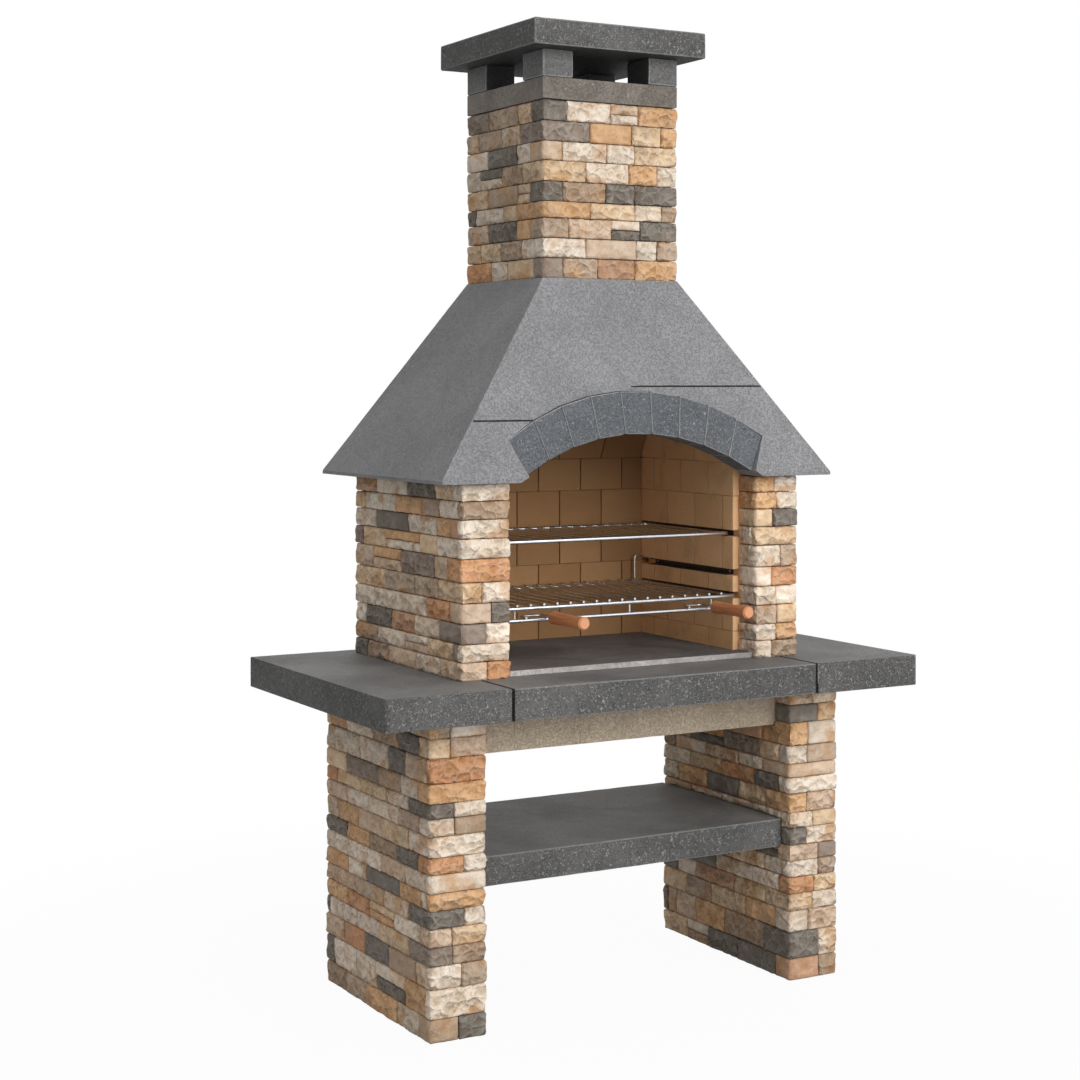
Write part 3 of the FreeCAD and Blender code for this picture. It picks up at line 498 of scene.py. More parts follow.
@dataclass(frozen=True)
class WoodFinish:
    """Turned wood with grain along the handle and rings on its ends."""

    name: str
    centre: Triple
    base: Colour = paint(210, 140, 94)
    vein: Colour = paint(172, 103, 63)
    end: Colour = paint(222, 160, 118)
    heart: Triple = (0.0021, 0.0, 0.0034)
    wobble: float = 0.0016
    rings: float = 2600.0
    depth: float = 0.0006

    def material(self) -> Material:
        """Builds the material."""
        graph = Graph.named(self.name)
        place = graph.vector("SUBTRACT", graph.place(), self.centre)
        along = graph.stretched(place, (1.0, 0.07, 1.0))
        fibre = graph.noise(along, 420.0, 5.0, 0.65, 0.4)
        figure = graph.noise(along, 120.0, 3.0, 0.55, 0.9)
        flat = graph.stretched(place, (1.0, 0.0, 1.0), self.heart)
        wobble = graph.noise(flat, 130.0, 2.0, 0.5) * self.wobble
        radius = graph.vector("LENGTH", flat, out="Value") + wobble
        ring = graph.node("Math", {0: radius * self.rings}, operation="SINE")
        colour = graph.mix(figure.step(0.40, 0.68) * 0.7, self.base, self.vein)
        colour = graph.mix(fibre.step(0.55, 0.72) * 0.55, colour, self.vein)
        ends = abs(graph.facing("Y")).step(0.75, 0.95)
        colour = graph.mix(ends, colour, graph.mix(ring.step(0.1, 0.9) * 0.65, self.end, self.base))
        bump = graph.bump(fibre * (1 - ends), self.depth)
        return graph.surface(colour, fibre * 0.2 + 0.42, {"Normal": bump})


def new_layers(mesh: Mesh, domain: str, layers: dict[str, tuple[str, list[float]]]) -> None:
    """Adds values to a mesh's points or faces.

    Args:
        mesh: The mesh.
        domain: POINT or FACE.
        layers: For each name, the kind of value and its numbers in a row.
    """
    keys = {"FLOAT": "value", "FLOAT_COLOR": "color", "FLOAT_VECTOR": "vector"}
    for name, (kind, values) in layers.items():
        layer = mesh.attributes.new(name, kind, domain)
        layer.data.foreach_set(keys[kind], values)


def meshed(name: str, shape: BMesh) -> Mesh:
    """A new mesh from a bmesh, which is freed."""
    mesh = bpy.data.meshes.new(name)
    shape.to_mesh(mesh)
    shape.free()
    return mesh


def placed(name: str, data: ID) -> Object:
    """A new object in the scene."""
    made = bpy.data.objects.new(name, data)
    bpy.context.scene.collection.objects.link(made)
    return made


def publish(
    mesh: Mesh, body: Body, nodes: Sequence[str], material: Material, sharp: float
) -> None:
    """Puts a finished mesh in the scene in place of CAD nodes.

    Args:
        mesh: The piece's mesh, which carries the piece's name.
        body: The body that the piece rides on.
        nodes: The CAD nodes that the piece stands for.
        material: The finish.
        sharp: The angle in degrees past which an edge stays sharp.
    """
    mesh.materials.append(material)
    mesh.shade_smooth()
    mesh.set_sharp_from_angle(angle=math.radians(sharp))
    piece = placed(mesh.name, mesh)
    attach(piece, body.value)
    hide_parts(*nodes)
    log.info("%s: %d faces in place of %s", mesh.name, len(mesh.polygons), ", ".join(nodes))


def dress(node: str, material: Material) -> None:
    """Gives a CAD node that stays a finish."""
    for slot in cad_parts[node].material_slots:
        slot.material = material
    log.info("%s: finished with %s", node, material.name)


def solids(shape: BMesh) -> list[list[BMVert]]:
    """The corners of each solid. Its loose faces follow one another until each side is met twice."""
    found: list[list[BMVert]] = [[]]
    unmet: set[frozenset[tuple[float, ...]]] = set()
    for face in shape.faces:
        found[-1].extend(face.verts)
        for edge in face.edges:
            unmet ^= {frozenset(tuple(round(part, 5) for part in vert.co) for vert in edge.verts)}
        if not unmet:
            found.append([])
    return [list(dict.fromkeys(corners)) for corners in found if corners]


def merged_copy(node: str, apart: bool = False) -> BMesh:
    """A CAD node's shape with its loose triangles joined to whole faces.

    Args:
        node: The node's name.
        apart: True keeps solids that touch apart.

    Returns:
        A new bmesh.
    """
    shape = bmesh.new()
    shape.from_mesh(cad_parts[node].data)
    for corners in solids(shape) if apart else [shape.verts]:
        bmesh.ops.remove_doubles(shape, verts=corners, dist=TOUCH)
    bmesh.ops.dissolve_limit(
        shape, angle_limit=FLAT, verts=shape.verts, edges=shape.edges, delimit=set()
    )
    return shape


def islands(shape: BMesh) -> list[list[BMFace]]:
    """The faces of each separate solid in a bmesh."""
    found: list[list[BMFace]] = []
    seen: set[int] = set()
    shape.faces.index_update()
    for start in shape.faces:
        if start.index in seen:
            continue
        seen.add(start.index)
        group = [start]
        for face in group:
            for edge in face.edges:
                for other in edge.link_faces:
                    if other.index not in seen:
                        seen.add(other.index)
                        group.append(other)
        found.append(group)
    return found


class SplitStyle(Enum):
    """How a stone's face has split, with how often and how strongly."""

    SCOOPED = (0.46, 1.0)
    ROUGH = (0.38, 0.85)
    PLAIN = (0.16, 0.35)

    def __init__(self, weight: float, chisel: float) -> None:
        """Keeps how often it is met, and how strong its fine relief is."""
        self.weight = weight
        self.chisel = chisel


@dataclass
class Facing:
    """A plane that split faces look out from."""

    axis: int
    level: float
    outward: int

    def holds(self, point: Vector) -> bool:
        """True if the point lies on the plane."""
        return abs(point[self.axis] - self.level) < ON_PLANE


@dataclass
class Stone:
    """One stone while it is shaped."""

    shape: BMesh
    whole: bool
    style: SplitStyle
    shift: Vector
    proud: float
    lean: float
    swap: bool

    def __post_init__(self) -> None:
        """Finds the block's corners."""
        places = [vert.co for vert in self.shape.verts]
        self.low = Vector([min(place[axis] for place in places) for axis in range(3)])
        self.high = Vector([max(place[axis] for place in places) for axis in range(3)])

    def share(self, spot: Vector, axis: int) -> float:
        """How far a point is along the stone, 0 to 1."""
        return (spot[axis] - self.low[axis]) / max(self.high[axis] - self.low[axis], 1e-6)

    def relief(self, spot: Vector, along: int) -> float:
        """How far a point of a split face stands out, as a share of the relief.

        Args:
            spot: The point on the flat face.
            along: The level axis of the face.

        Returns:
            The share, negative inwards.
        """
        waves = noise.fractal(spot * WAVES + self.shift, 1.0, 2.0, 3)
        dish = noise.voronoi(Vector((spot.x, spot.y, spot.z * 1.3)) * BOWLS + self.shift)[0][0]
        bowls = 1.8 * dish * dish - 0.42
        if self.style is SplitStyle.PLAIN:
            return 0.28 * waves + 0.15 * bowls
        if self.style is SplitStyle.ROUGH:
            return 0.5 * waves + 0.75 * bowls
        rise = self.share(spot, 2)
        rise = 1 - rise if self.swap else rise
        scallop = abs(math.sin(spot[along] * SCALLOPS + self.shift.x * 3))
        bend = noise.noise(Vector((spot[along] * BENDS, 0, 0)) + self.shift)
        ridge = 0.36 + 0.20 * scallop + 0.16 * bend
        if rise > ridge:
            fall = -0.5 * (rise - ridge)
        else:
            fall = -0.9 * min(1.0, (ridge - rise) / 0.18) * (0.5 + 0.5 * scallop)
        return 0.12 + fall + 0.35 * waves + 0.4 * bowls


def respaced(values: Sequence[float], edge: float) -> dict[float, float]:
    """Moves the lines next to both ends of a row to an edge's width from them, and spreads the rest.

    Args:
        values: The places of the lines.
        edge: The edge's width.

    Returns:
        The new place for each rounded old one.
    """
    places = sorted({round(value, 5) for value in values})
    inner = len(places) - 3
    if inner < 1:
        return {place: place for place in places}
    first, last = places[0], places[-1]
    step = (last - first - 2 * edge) / inner
    spread = [first] + [first + edge + step * number for number in range(inner + 1)] + [last]
    return dict(zip(places, spread))


@dataclass
class StoneSkin:
    """The split stones on the outside of one block of masonry."""

    name: str
    nodes: tuple[str, str]
    seed: int
    tone: float = 1.0
    returns: bool = False
    cell: float = 0.0115
    edge: float = 0.0042
    edge_drop: float = 0.0042
    corner_drop: float = 0.0022
    margin: float = 0.010
    relief: float = 0.0070
    deepest: float = 0.0120
    lift: float = 0.0014
    tilt: float = 0.002
    upside_down: float = 0.25
    ragged: Span = (-0.0004, 0.0009)
    tones: Span = (0.90, 1.06)
    reach: float = 0.11
    return_depth: float = 0.05
    sharp: float = 70.0
    facings: list[Facing] = field(default_factory=list)
    laid: list[tuple[Vector, StoneColour]] = field(default_factory=list)

    def build(self, material: Material) -> None:
        """Makes every stone and joins them in one piece.

        Args:
            material: The finish.
        """
        self.rng = random.Random(self.seed)
        self.dice = random.Random(self.seed)
        self.find_facings()
        whole = bmesh.new()
        kinds = {"tint": "FLOAT_COLOR", "relief": "FLOAT", "chisel": "FLOAT", "chance": "FLOAT_VECTOR"}
        layers: dict[str, list[float]] = {name: [] for name in kinds}
        for node in self.nodes:
            shape = merged_copy(node)
            for group in islands(shape):
                self.add_stone(whole, shape, group, layers)
            shape.free()
        mesh = meshed(self.name, whole)
        new_layers(mesh, "POINT", {name: (kind, layers[name]) for name, kind in kinds.items()})
        publish(mesh, Body.MASONRY, self.nodes, material, self.sharp)

    def find_facings(self) -> None:
        """Finds the planes of the masonry's outer faces from the CAD stones."""
        boxes = [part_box(node) for node in self.nodes]
        for axis in (0, 1):
            self.facings.append(Facing(axis, min(low[axis] for low, _ in boxes), -1))
            self.facings.append(Facing(axis, max(high[axis] for _, high in boxes), 1))
        if self.returns:
            limit = min(low.y for low, _ in boxes) + self.return_depth
            corners = [vert.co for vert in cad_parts[self.nodes[0]].data.vertices]
            inner = min(abs(corner.x) for corner in corners if corner.y < limit)
            self.facings += [Facing(0, inner, -1), Facing(0, -inner, 1)]

    def pick_colour(self, group: list[BMFace]) -> StoneColour:
        """Draws a stone's colour, seldom the colour of a stone next to it.

        Args:
            group: The faces of the CAD block.

        Returns:
            The colour.
        """
        centre = sum((face.calc_center_median() for face in group), Vector()) / len(group)
        near = [colour for place, colour in self.laid if (place - centre).length < self.reach]
        choice = list(StoneColour)
        drawn = self.dice.choices(choice, [colour.weight(near) for colour in choice])[0]
        self.laid.append((centre, drawn))
        return drawn

    def add_stone(
        self, whole: BMesh, source: BMesh, group: list[BMFace], layers: dict[str, list[float]]
    ) -> None:
        """Makes one stone from its CAD block.

        Args:
            whole: The bmesh that takes all the stones.
            source: The bmesh of the CAD node.
            group: The faces of the CAD block.
            layers: The values of the points so far, which grow.
        """
        tint = scaled(self.pick_colour(group).tint, self.dice.uniform(*self.tones) * self.tone)
        shift = Vector([self.rng.uniform(-9, 9) for _ in range(3)])
        styles = list(SplitStyle)
        style = self.rng.choices(styles, [choice.weight for choice in styles])[0]
        shape, regular = self.block(source, group)
        proud = self.rng.uniform(-0.6, 1.0) * self.lift
        lean = self.rng.uniform(-1.0, 1.0) * self.tilt
        swap = self.rng.random() < self.upside_down
        heights = self.split(Stone(shape, regular, style, shift, proud, lean, swap))
        mesh = meshed("one_stone", shape)
        whole.from_mesh(mesh)
        bpy.data.meshes.remove(mesh)
        for height in heights:
            layers["tint"].extend((*tint, 1.0))
            layers["relief"].append(height)
            layers["chisel"].append(style.chisel)
            layers["chance"].extend(shift)

    def block(self, source: BMesh, group: list[BMFace]) -> tuple[BMesh, bool]:
        """A CAD block's prism with its outer faces cut into cells.

        Args:
            source: The bmesh of the CAD node.
            group: The faces of the CAD block.

        Returns:
            A new bmesh of the stone, and False if another piece has cut into its block.
        """
        bottoms = [face for face in group if face.normal.z < -0.99]
        tops = [face for face in group if face.normal.z > 0.99]
        regular = len(bottoms) == 1 and len(tops) == 1 and len(bottoms[0].verts) == len(tops[0].verts)
        if regular:
            stone = bmesh.new()
            base = stone.faces.new([stone.verts.new(vert.co) for vert in bottoms[0].verts])
            height = tops[0].verts[0].co.z - bottoms[0].verts[0].co.z
            raised = bmesh.ops.extrude_face_region(stone, geom=[base], use_keep_orig=True)
            lifted = [item for item in raised["geom"] if isinstance(item, BMVert)]
            bmesh.ops.translate(stone, verts=lifted, vec=(0, 0, height))
        else:
            stone = source.copy()
            stone.faces.index_update()
            kept = {face.index for face in group}
            others = [face for face in stone.faces if face.index not in kept]
            bmesh.ops.delete(stone, geom=others, context="FACES")
        bmesh.ops.recalc_face_normals(stone, faces=stone.faces)
        self.cut_cells(stone)
        return stone, regular

    def cut_cells(self, stone: BMesh) -> None:
        """Divides the upright edges, then the level edges of the outer faces."""
        upright = [edge for edge in stone.edges if abs((edge.verts[0].co - edge.verts[1].co).z) > 0.004]
        tall = max(edge.calc_length() for edge in upright)
        rows = 2 + max(1, round((tall - 2 * self.edge) / (self.cell * 0.8)))
        bmesh.ops.subdivide_edges(stone, edges=upright, cuts=rows - 1, use_grid_fill=True)
        for facing in self.facings:
            level = [edge for edge in stone.edges if self.is_course_line(edge, facing)]
            for length in sorted({round(edge.calc_length(), 4) for edge in level}):
                valid = [edge for edge in level if edge.is_valid]
                same = [edge for edge in valid if round(edge.calc_length(), 4) == length]
                cuts = 1 + max(1, round((length - 2 * self.edge) / self.cell))
                bmesh.ops.subdivide_edges(stone, edges=same, cuts=cuts, use_grid_fill=True)

    def is_course_line(self, edge: BMEdge, facing: Facing) -> bool:
        """True if an edge lies level on an outer face and is still long."""
        first, second = (vert.co for vert in edge.verts)
        level = abs(first.z - second.z) < 0.001 and (first - second).length > self.cell * 1.5
        return level and facing.holds(first) and facing.holds(second)

    def split(self, stone: Stone) -> list[float]:
        """Moves the points of the outer faces to a split surface.

        Args:
            stone: The stone.

        Returns:
            How proud each point stands, 0 to 1.
        """
        verts = list(stone.shape.verts)
        faced = [[facing for facing in self.facings if facing.holds(vert.co)] for vert in verts]
        if stone.whole:
            self.respace(verts, faced)
        proud = []
        moves = []
        for vert, facings in zip(verts, faced):
            move = Vector((0, 0, 0))
            depth = -self.deepest
            for facing in facings:
                depth = self.depth(stone, vert.co, facing, len(facings) > 1)
                move[facing.axis] += facing.outward * depth
            rim = min(vert.co.z - stone.low.z, stone.high.z - vert.co.z) < 1e-5
            if facings and rim:
                rise = self.rng.uniform(*self.ragged)
                move.z += math.copysign(rise, stone.share(vert.co, 2) - 0.5)
            proud.append(min(1.0, max(0.0, 1 + (depth - self.lift) / self.deepest)))
            moves.append(move)
        for vert, move in zip(verts, moves):
            vert.co += move
        return proud

    def respace(self, verts: Sequence[BMVert], faced: Sequence[list[Facing]]) -> None:
        """Brings a line of points near to each edge, so that edges are crisp.

        Args:
            verts: The stone's points.
            faced: The planes that each point lies on.
        """
        levels = respaced([vert.co.z for vert in verts], self.edge)
        for facing in self.facings:
            along = 1 - facing.axis
            held = [vert for vert, facings in zip(verts, faced) if facing in facings]
            if held:
                places = respaced([vert.co[along] for vert in held], self.edge)
                for vert in held:
                    vert.co[along] = places[round(vert.co[along], 5)]
        for vert in verts:
            vert.co.z = levels[round(vert.co.z, 5)]

    def depth(self, stone: Stone, spot: Vector, facing: Facing, corner: bool) -> float:
        """How far a point of an outer face stands out, in metres.

        Args:
            stone: The stone.
            spot: The point on the flat face.
            facing: The face's plane.
            corner: True if the point is on two outer faces.

        Returns:
            The depth, negative inwards.
        """
        along = 1 - facing.axis
        gap = min(spot.z - stone.low.z, stone.high.z - spot.z)
        inset = gap
        for end in (stone.low, stone.high):
            reach = abs(spot[along] - end[along])
            inset = min(inset, reach)
            if not corner and not self.turns(end, along):
                gap = min(gap, reach)
        depth = stone.proud + stone.lean * (stone.share(spot, along) - 0.5)
        depth += self.relief * stone.relief(spot, along) * (0.3 + 0.7 * min(1.0, inset / self.margin))
        wear = 0.8 + 0.6 * noise.noise(spot * 60 + stone.shift)
        depth -= self.edge_drop * wear * max(0.0, 1 - gap / (self.edge * 1.3)) ** 2
        if corner:
            depth -= self.corner_drop * (1 + 0.7 * noise.noise(spot * 90 - stone.shift))
        return max(depth, -self.deepest)

    def turns(self, corner: Vector, axis: int) -> bool:
        """True if the stone's extent along an axis ends at another outer face."""
        return any(facing.axis == axis and facing.holds(corner) for facing in self.facings)


@dataclass
class CastPieces:
    """Cast or cut pieces that keep their CAD shape, with softened and lightly worn arrises."""

    nodes: tuple[str, ...]
    slot: str
    arris: float = 0.003
    segments: int = 2
    wear: float = 0.0008
    pitch: float = 0.03
    least_edge: float = 0.02
    corner: float = math.radians(20)
    chips: Span = (55, 170)
    sharp: float = 30.0
    tints: tuple[Colour, ...] = (WHITE,)
    spread: float = 0.0
    seed: int = 5
    seams: tuple[tuple[int, float], ...] = ()

    def build(self, material: Material) -> None:
        """Makes a piece for each node.

        Args:
            material: The finish.
        """
        self.rng = random.Random(self.seed)
        for node in self.nodes:
            self.piece(node, material)

    def piece(self, node: str, material: Material) -> None:
        """Makes the piece for one node, with softened arrises.

        Args:
            node: The CAD node.
            material: The finish.
        """
        shape = merged_copy(node, apart=True)
        arrises = [edge for edge in shape.edges if self.is_arris(edge, self.least_edge)]
        for length in sorted({round(edge.calc_length(), 4) for edge in arrises}):
            same = [edge for edge in arrises if round(edge.calc_length(), 4) == length]
            cuts = int(length / self.pitch)
            if cuts > 0:
                bmesh.ops.bisect_edges(shape, edges=same, cuts=cuts, edge_percents={})
        least = min(self.least_edge, self.pitch * 0.49)
        arrises = [edge for edge in shape.edges if self.is_arris(edge, least)]
        rounded = bmesh.ops.bevel(
            shape, geom=arrises, offset=self.arris, affect="EDGES", segments=self.segments,
            profile=0.5, material=-1, clamp_overlap=False,
        )
        soft = set(rounded["faces"])
        for vert in {vert for face in soft for vert in face.verts}:
            chip = noise.noise(vert.co * self.chips[0]) + 0.5 * noise.noise(vert.co * self.chips[1])
            vert.co -= vert.normal * max(0.0, chip) * self.wear
        tint = [1.0] * (4 * len(shape.faces))
        for group in islands(shape):
            drawn = self.rng.choice(self.tints)
            colour = scaled(drawn, 1 + self.rng.uniform(-self.spread, self.spread))
            for face in group:
                tint[4 * face.index : 4 * face.index + 3] = colour
        # 1 marks an arris for the painted highlight and shade of the finish, -1 a seam
        worn = [self.wear_of(face) if face in soft else 0.0 for face in shape.faces]
        smooth = [face in soft for face in shape.faces]
        mesh = meshed(f"{node}_finished", shape)
        new_layers(mesh, "FACE", {"arris": ("FLOAT", worn), "tint": ("FLOAT_COLOR", tint)})
        publish(mesh, Body.MASONRY, (node,), material, self.sharp)
        mesh.polygons.foreach_set("use_smooth", smooth)

    def wear_of(self, face: BMFace) -> float:
        """1 for an arris, which the finish gives a painted highlight, and -1 for one along a seam,
        which stays dark.
        """
        for axis, level in self.seams:
            if all(abs(vert.co[axis] - level) < 2 * self.arris for vert in face.verts):
                return -1.0
        return 1.0

    def is_arris(self, edge: BMEdge, least: float) -> bool:
        """True if an edge is an outer corner, long enough and clear of short edges."""
        if len(edge.link_faces) != 2 or not edge.is_convex or edge.calc_length() < least:
            return False
        near = [other for vert in edge.verts for other in vert.link_edges]
        if min(other.calc_length() for other in near) < 3 * self.arris:
            return False
        return edge.calc_face_angle(0.0) > self.corner


@dataclass
class Studio:
    """The floor, the light and the camera."""

    floor_radius: float = 9.0
    floor_shade: Colour = (0.5, 0.5, 0.5)
    floor_fade: Span = (0.7, 2.6)
    floor_shadow: float = 0.04
    key_place: Triple = (0.8, -6.5, 3.5)
    key_aim: Triple = (0.0, 0.0, 1.15)
    key_power: float = 345.0
    key_size: float = 4.5
    sky: float = 0.29
    zenith: float = 0.40
    camera_place: Triple = (-2.6657, -4.4932, 1.5243)
    camera_turn: float = -29.42
    camera_tilt: float = -0.33
    focal: float = 68.29
    sensor: float = 36.0
    shift_up: float = -0.1359

    def build(self) -> None:
        """Sets the studio up."""
        scene = bpy.context.scene
        scene.view_settings.view_transform = "Standard"
        self.floor()
        self.world(scene)
        self.lamps()
        self.camera(scene)

    @staticmethod
    def seen(graph: Graph) -> Wire:
        """1 for rays that show the background to the camera, straight or by way of metal or glass."""
        names = ("Is Camera Ray", "Is Glossy Ray", "Is Transmission Ray")
        camera, glossy, through = (graph.node("LightPath", {}, name) for name in names)
        return (camera + glossy + through).step(0.0, 1.0)

    def floor(self) -> None:
        """A wide pale floor that turns to plain white away from the object."""
        shape = bmesh.new()
        bmesh.ops.create_circle(shape, cap_ends=True, segments=96, radius=self.floor_radius)
        mesh = meshed("studio_floor", shape)
        graph = Graph.named("studio_floor")
        radius = graph.vector("LENGTH", graph.stretched(graph.place(), LEVEL), out="Value")
        away = radius.step(*self.floor_fade) * self.floor_shadow + (1 - self.floor_shadow)
        pale = graph.node("BsdfDiffuse", {"Color": self.floor_shade})
        white = graph.node("Emission", {"Color": WHITE, "Strength": 1.0})
        blend = graph.node("MixShader", {0: self.seen(graph) * away, 1: pale, 2: white})
        mesh.materials.append(graph.output(blend))
        floor = placed("studio_floor", mesh)

    def world(self, scene: Scene) -> None:
        """White behind the object and an even sky on it."""
        sky = bpy.data.worlds.new("studio_sky")
        graph = Graph(sky)
        height = graph.node("SeparateXYZ", {0: graph.node("TexCoord", {}, "Generated")}, "Z")
        glow = height.step(0.0, 1.0) * self.zenith + self.sky
        seen = self.seen(graph)
        strength = seen + (1 - seen) * glow
        shader = graph.node("Background", {"Color": WHITE, "Strength": strength})
        graph.node("OutputWorld", {"Surface": shader})
        scene.world = sky

    def lamps(self) -> None:
        """One large soft lamp in front, to the right and above."""
        lamp = bpy.data.lights.new("key_lamp", "AREA")
        lamp.energy = self.key_power
        lamp.size = self.key_size
        key = placed("key_lamp", lamp)
        key.location = self.key_place
        aim = Vector(self.key_aim) - key.location
        key.rotation_euler = aim.to_track_quat("-Z", "Y").to_euler()

    def camera(self, scene: Scene) -> None:
        """The photograph's viewpoint."""
        lens = bpy.data.cameras.new("photo_camera")
        lens.sensor_width = self.sensor
        lens.lens = self.focal
        lens.shift_y = self.shift_up
        camera = placed("photo_camera", lens)
        camera.location = self.camera_place
        turn = (90 + self.camera_tilt, 0.0, self.camera_turn)
        camera.rotation_euler = [math.radians(angle) for angle in turn]
        scene.camera = camera


@dataclass
class Cladding:
    """The stones of the legs, the firebox walls and the chimney."""

    finish: StoneFinish = StoneFinish()

    def build(self) -> None:
        """Makes the four skins of stone."""
        material = self.finish.material()
        for name, stem, seed, tone in (
            ("left_leg_stones", "left_leg", 94, 1.0),
            ("right_leg_stones", "right_leg", 91, 1.0),
            ("firebox_stones", "wall", 87, 1.08),
            ("chimney_stones", "chimney", 105, 0.92),
        ):
            nodes = (f"{stem}_corner_stones", f"{stem}_field_stones")
            StoneSkin(name, nodes, seed, tone, returns=stem == "wall").build(material)


@dataclass
class Slabs:
    """The worktop, the shelf, the cap and the other cast pieces that lie flat."""

    dark: CastFinish = CastFinish(
        "dark_slab", paint(125, 124, 123), paint(158, 157, 155), flecks=0.8, top_flecks=0.25,
        # Sides at 0.54 of the top's tone as painted light, and a painted highlight on the arrises
        rubbed_highlight=paint(160, 159, 157), painted_side_light=0.54, top_roughness=0.6, shine=0.2,
    )
    pillars: CastFinish = CastFinish(
        "pillar_slab", paint(112, 111, 110), paint(150, 149, 147), flecks=0.6
    )
    collar: CastFinish = CastFinish(
        "collar_concrete", paint(128, 120, 111), paint(164, 154, 143), flecks=0.55, top_flecks=0.5,
        # With a painted highlight on the arrises
        mottle=0.32, rubbed_highlight=paint(146, 136, 126),
    )
    hearth: CastFinish = CastFinish(
        "hearth_concrete", paint(110, 106, 104), paint(196, 196, 198), top_flecks=0.15, mottle=0.28,
        # The edge painted 3.2 times lighter than the top, as painted light
        painted_side_light=3.2, shine=0.25,
    )
    beige: CastFinish = CastFinish(
        "beige_concrete", paint(202, 184, 160), paint(224, 208, 186), top_flecks=0.5, curl=0.005,
        # With a painted highlight on the arrises
        mottle=0.1, rubbed_highlight=paint(220, 204, 182),
    )
    core: CastFinish = CastFinish(
        "core_mortar", paint(70, 59, 50), paint(96, 84, 72), flecks=0.4, top_flecks=0.4
    )

    def build(self) -> None:
        """Makes the slabs, and finishes the hidden blocks."""
        slabs = ("worktop_left", "worktop_middle", "worktop_right", "lower_shelf")
        seams = tuple((0, corner.x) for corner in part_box("worktop_middle"))
        CastPieces(slabs, "dark_slab", seams=seams).build(self.dark.material())
        low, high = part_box("cap_pillars")
        flue = tuple((low + high) / 2)
        # Painted shade on the cap's and the pillars' faces that look down or in towards the flue
        cap = replace(self.dark, name="cap_slab", painted_flue_shade=0.75, flue=flue)
        pillars = replace(self.pillars, painted_flue_shade=0.85, flue=flue)
        supports = ("left_support_block", "support_slab", "right_support_block")
        for nodes, slot, arris, finish in (
            (("chimney_cap",), "dark_slab", 0.004, cap),
            (("cap_pillars",), "dark_slab", 0.004, pillars),
            (("chimney_collar",), "collar_concrete", 0.003, self.collar),
            (("hearth_slab",), "hearth_concrete", 0.0015, self.hearth),
            (supports, "beige_concrete", 0.002, self.beige),
        ):
            CastPieces(nodes, slot, arris).build(finish.material())
        core = self.core.material()
        for node in sorted(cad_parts):
            if node.endswith("_block") and "support" not in node:
                dress(node, core)


@dataclass
class Hood:
    """The sloping hood and the arch in its front."""

    shell: CastFinish = CastFinish(
        "hood_concrete", paint(143, 143, 145), paint(176, 176, 178), flecks=0.6, top_flecks=0.6,
        mottle=0.1, curl=0.006, roughness=0.82,
    )
    arch: CastFinish = CastFinish(
        "arch_slate", paint(99, 102, 106), paint(156, 159, 164), flecks=0.85, top_flecks=0.85,
        # A painted highlight on the arrises and painted shade on the chamfers that face +X
        curl=0.0055, mottle=0.12, rubbed_highlight=paint(180, 180, 178), arris=0.9, arris_shadow=0.9,
        roughness=0.74, shine=0.25, tinted=True,
    )

    def build(self) -> None:
        """Makes the panels and the voussoirs."""
        panels = tuple(sorted(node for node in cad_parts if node.startswith("hood_")))
        seams = tuple((2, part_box(f"hood_front_{side}_panel")[1].z) for side in ("left", "right"))
        shell = CastPieces(panels, "hood_concrete", arris=0.002, least_edge=0.05, seams=seams)
        shell.build(self.shell.material())
        stones = CastPieces(
            ("arch_voussoirs", "arch_keystone"), "arch_slate", arris=0.0018, segments=1, wear=0.0004,
            pitch=0.012, spread=0.06, seed=9,
        )
        stones.build(self.arch.material())


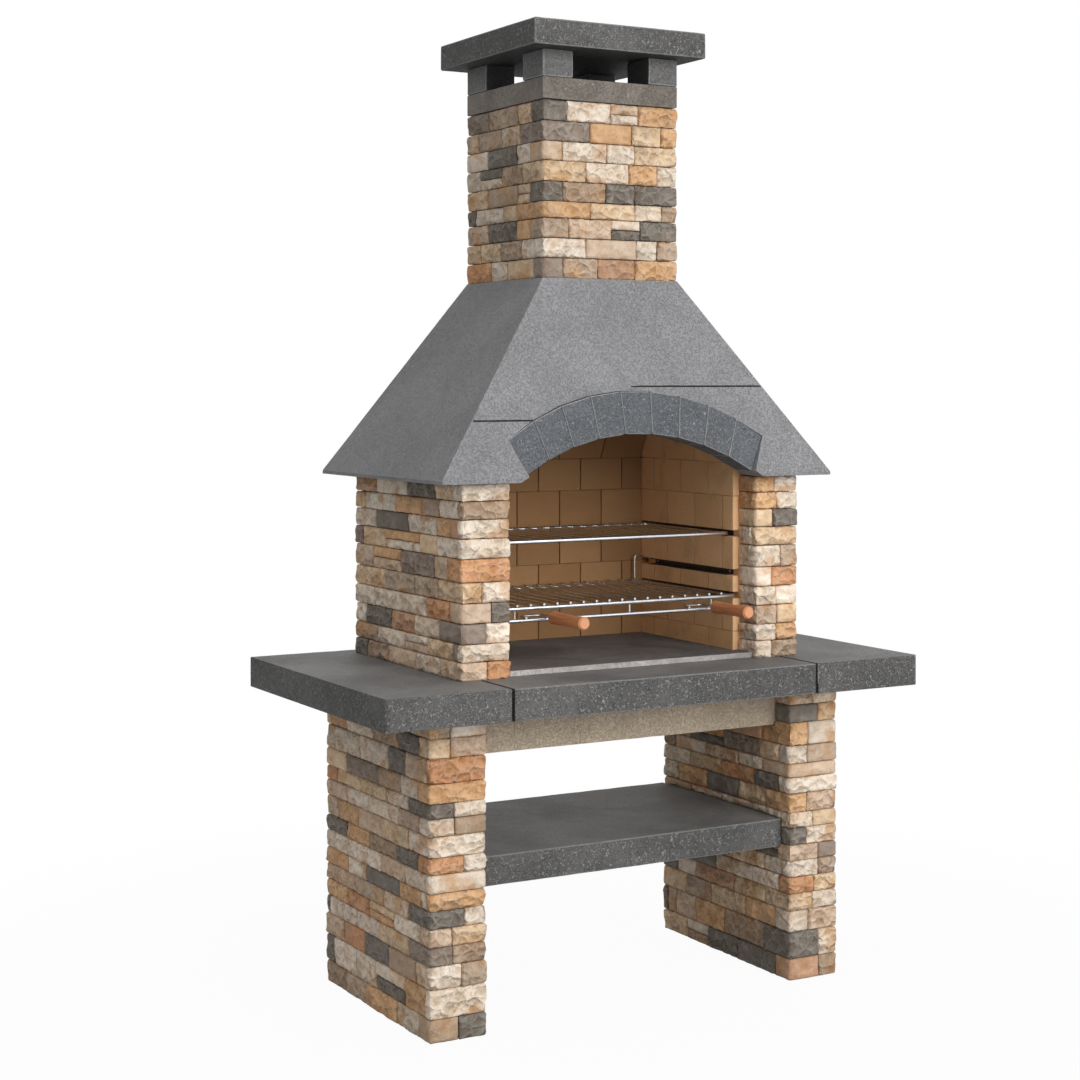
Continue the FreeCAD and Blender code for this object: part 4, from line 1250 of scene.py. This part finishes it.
@dataclass
class Chamber:
    """The firebrick lining, the rails and their screws."""

    brick: BrickFinish = BrickFinish()
    # Back bricks tinted darker as painted shade, side bricks tinted lighter as painted light
    shaded_back_tints: tuple[Colour, ...] = (paint(160, 122, 84), paint(156, 118, 80), paint(164, 126, 88))
    lit_side_tints: tuple[Colour, ...] = (paint(250, 204, 154), paint(246, 200, 150), paint(254, 208, 158))
    rail: MetalFinish = MetalFinish(
        "rail_steel", paint(78, 74, 70), paint(100, 94, 88), metallic=0.5, roughness=0.5, spread=0.12
    )
    screw: MetalFinish = MetalFinish(
        "screw_zinc", paint(206, 208, 212), paint(160, 160, 164), metallic=1.0, roughness=0.3,
        spread=0.1,
    )

    def build(self) -> None:
        """Makes the bricks and finishes the rails."""
        brick = self.brick.material()
        for nodes, tints in (
            (("left_lining_bricks", "right_lining_bricks"), self.lit_side_tints),
            (("back_lining_bricks", "throat_bricks"), self.shaded_back_tints),
        ):
            bricks = CastPieces(
                nodes, "firebrick", arris=0.0012, segments=1, wear=0.0004, tints=tints,
                spread=0.03, seed=17,
            )
            bricks.build(brick)
        rail = self.rail.material()
        for node in ("left_grate_rails", "right_grate_rails"):
            dress(node, rail)
        dress("rail_screws", self.screw.material())


@dataclass
class Grates:
    """The two grates and the handles of the lower one."""

    plated: MetalFinish = MetalFinish(
        "grate_chrome", paint(206, 207, 210), paint(186, 186, 188), metallic=1.0, roughness=0.28,
        spread=0.04,
    )
    sharp: float = 60.0

    def build(self) -> None:
        """Finishes the rods, the wires and the handles."""
        plated = self.plated.material()
        for node in sorted(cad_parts):
            if node == "handle_wires" or "_grate_" in node and "rails" not in node:
                body = Body.UPPER_GRATE if node.startswith("upper") else Body.LOWER_GRATE
                mesh = meshed(f"{node}_plated", merged_copy(node))
                publish(mesh, body, (node,), plated, self.sharp)
        for node in ("left_handle", "right_handle"):
            low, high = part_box(node)
            dress(node, WoodFinish(f"{node}_wood", tuple((low + high) / 2)).material())


def main() -> None:
    """Builds the studio and each sub-assembly in order."""
    logging.basicConfig(level=logging.INFO, format="%(message)s")
    for part in (Studio(), Cladding(), Slabs(), Hood(), Chamber(), Grates()):
        part.build()


if __name__ == "__main__":
    main()
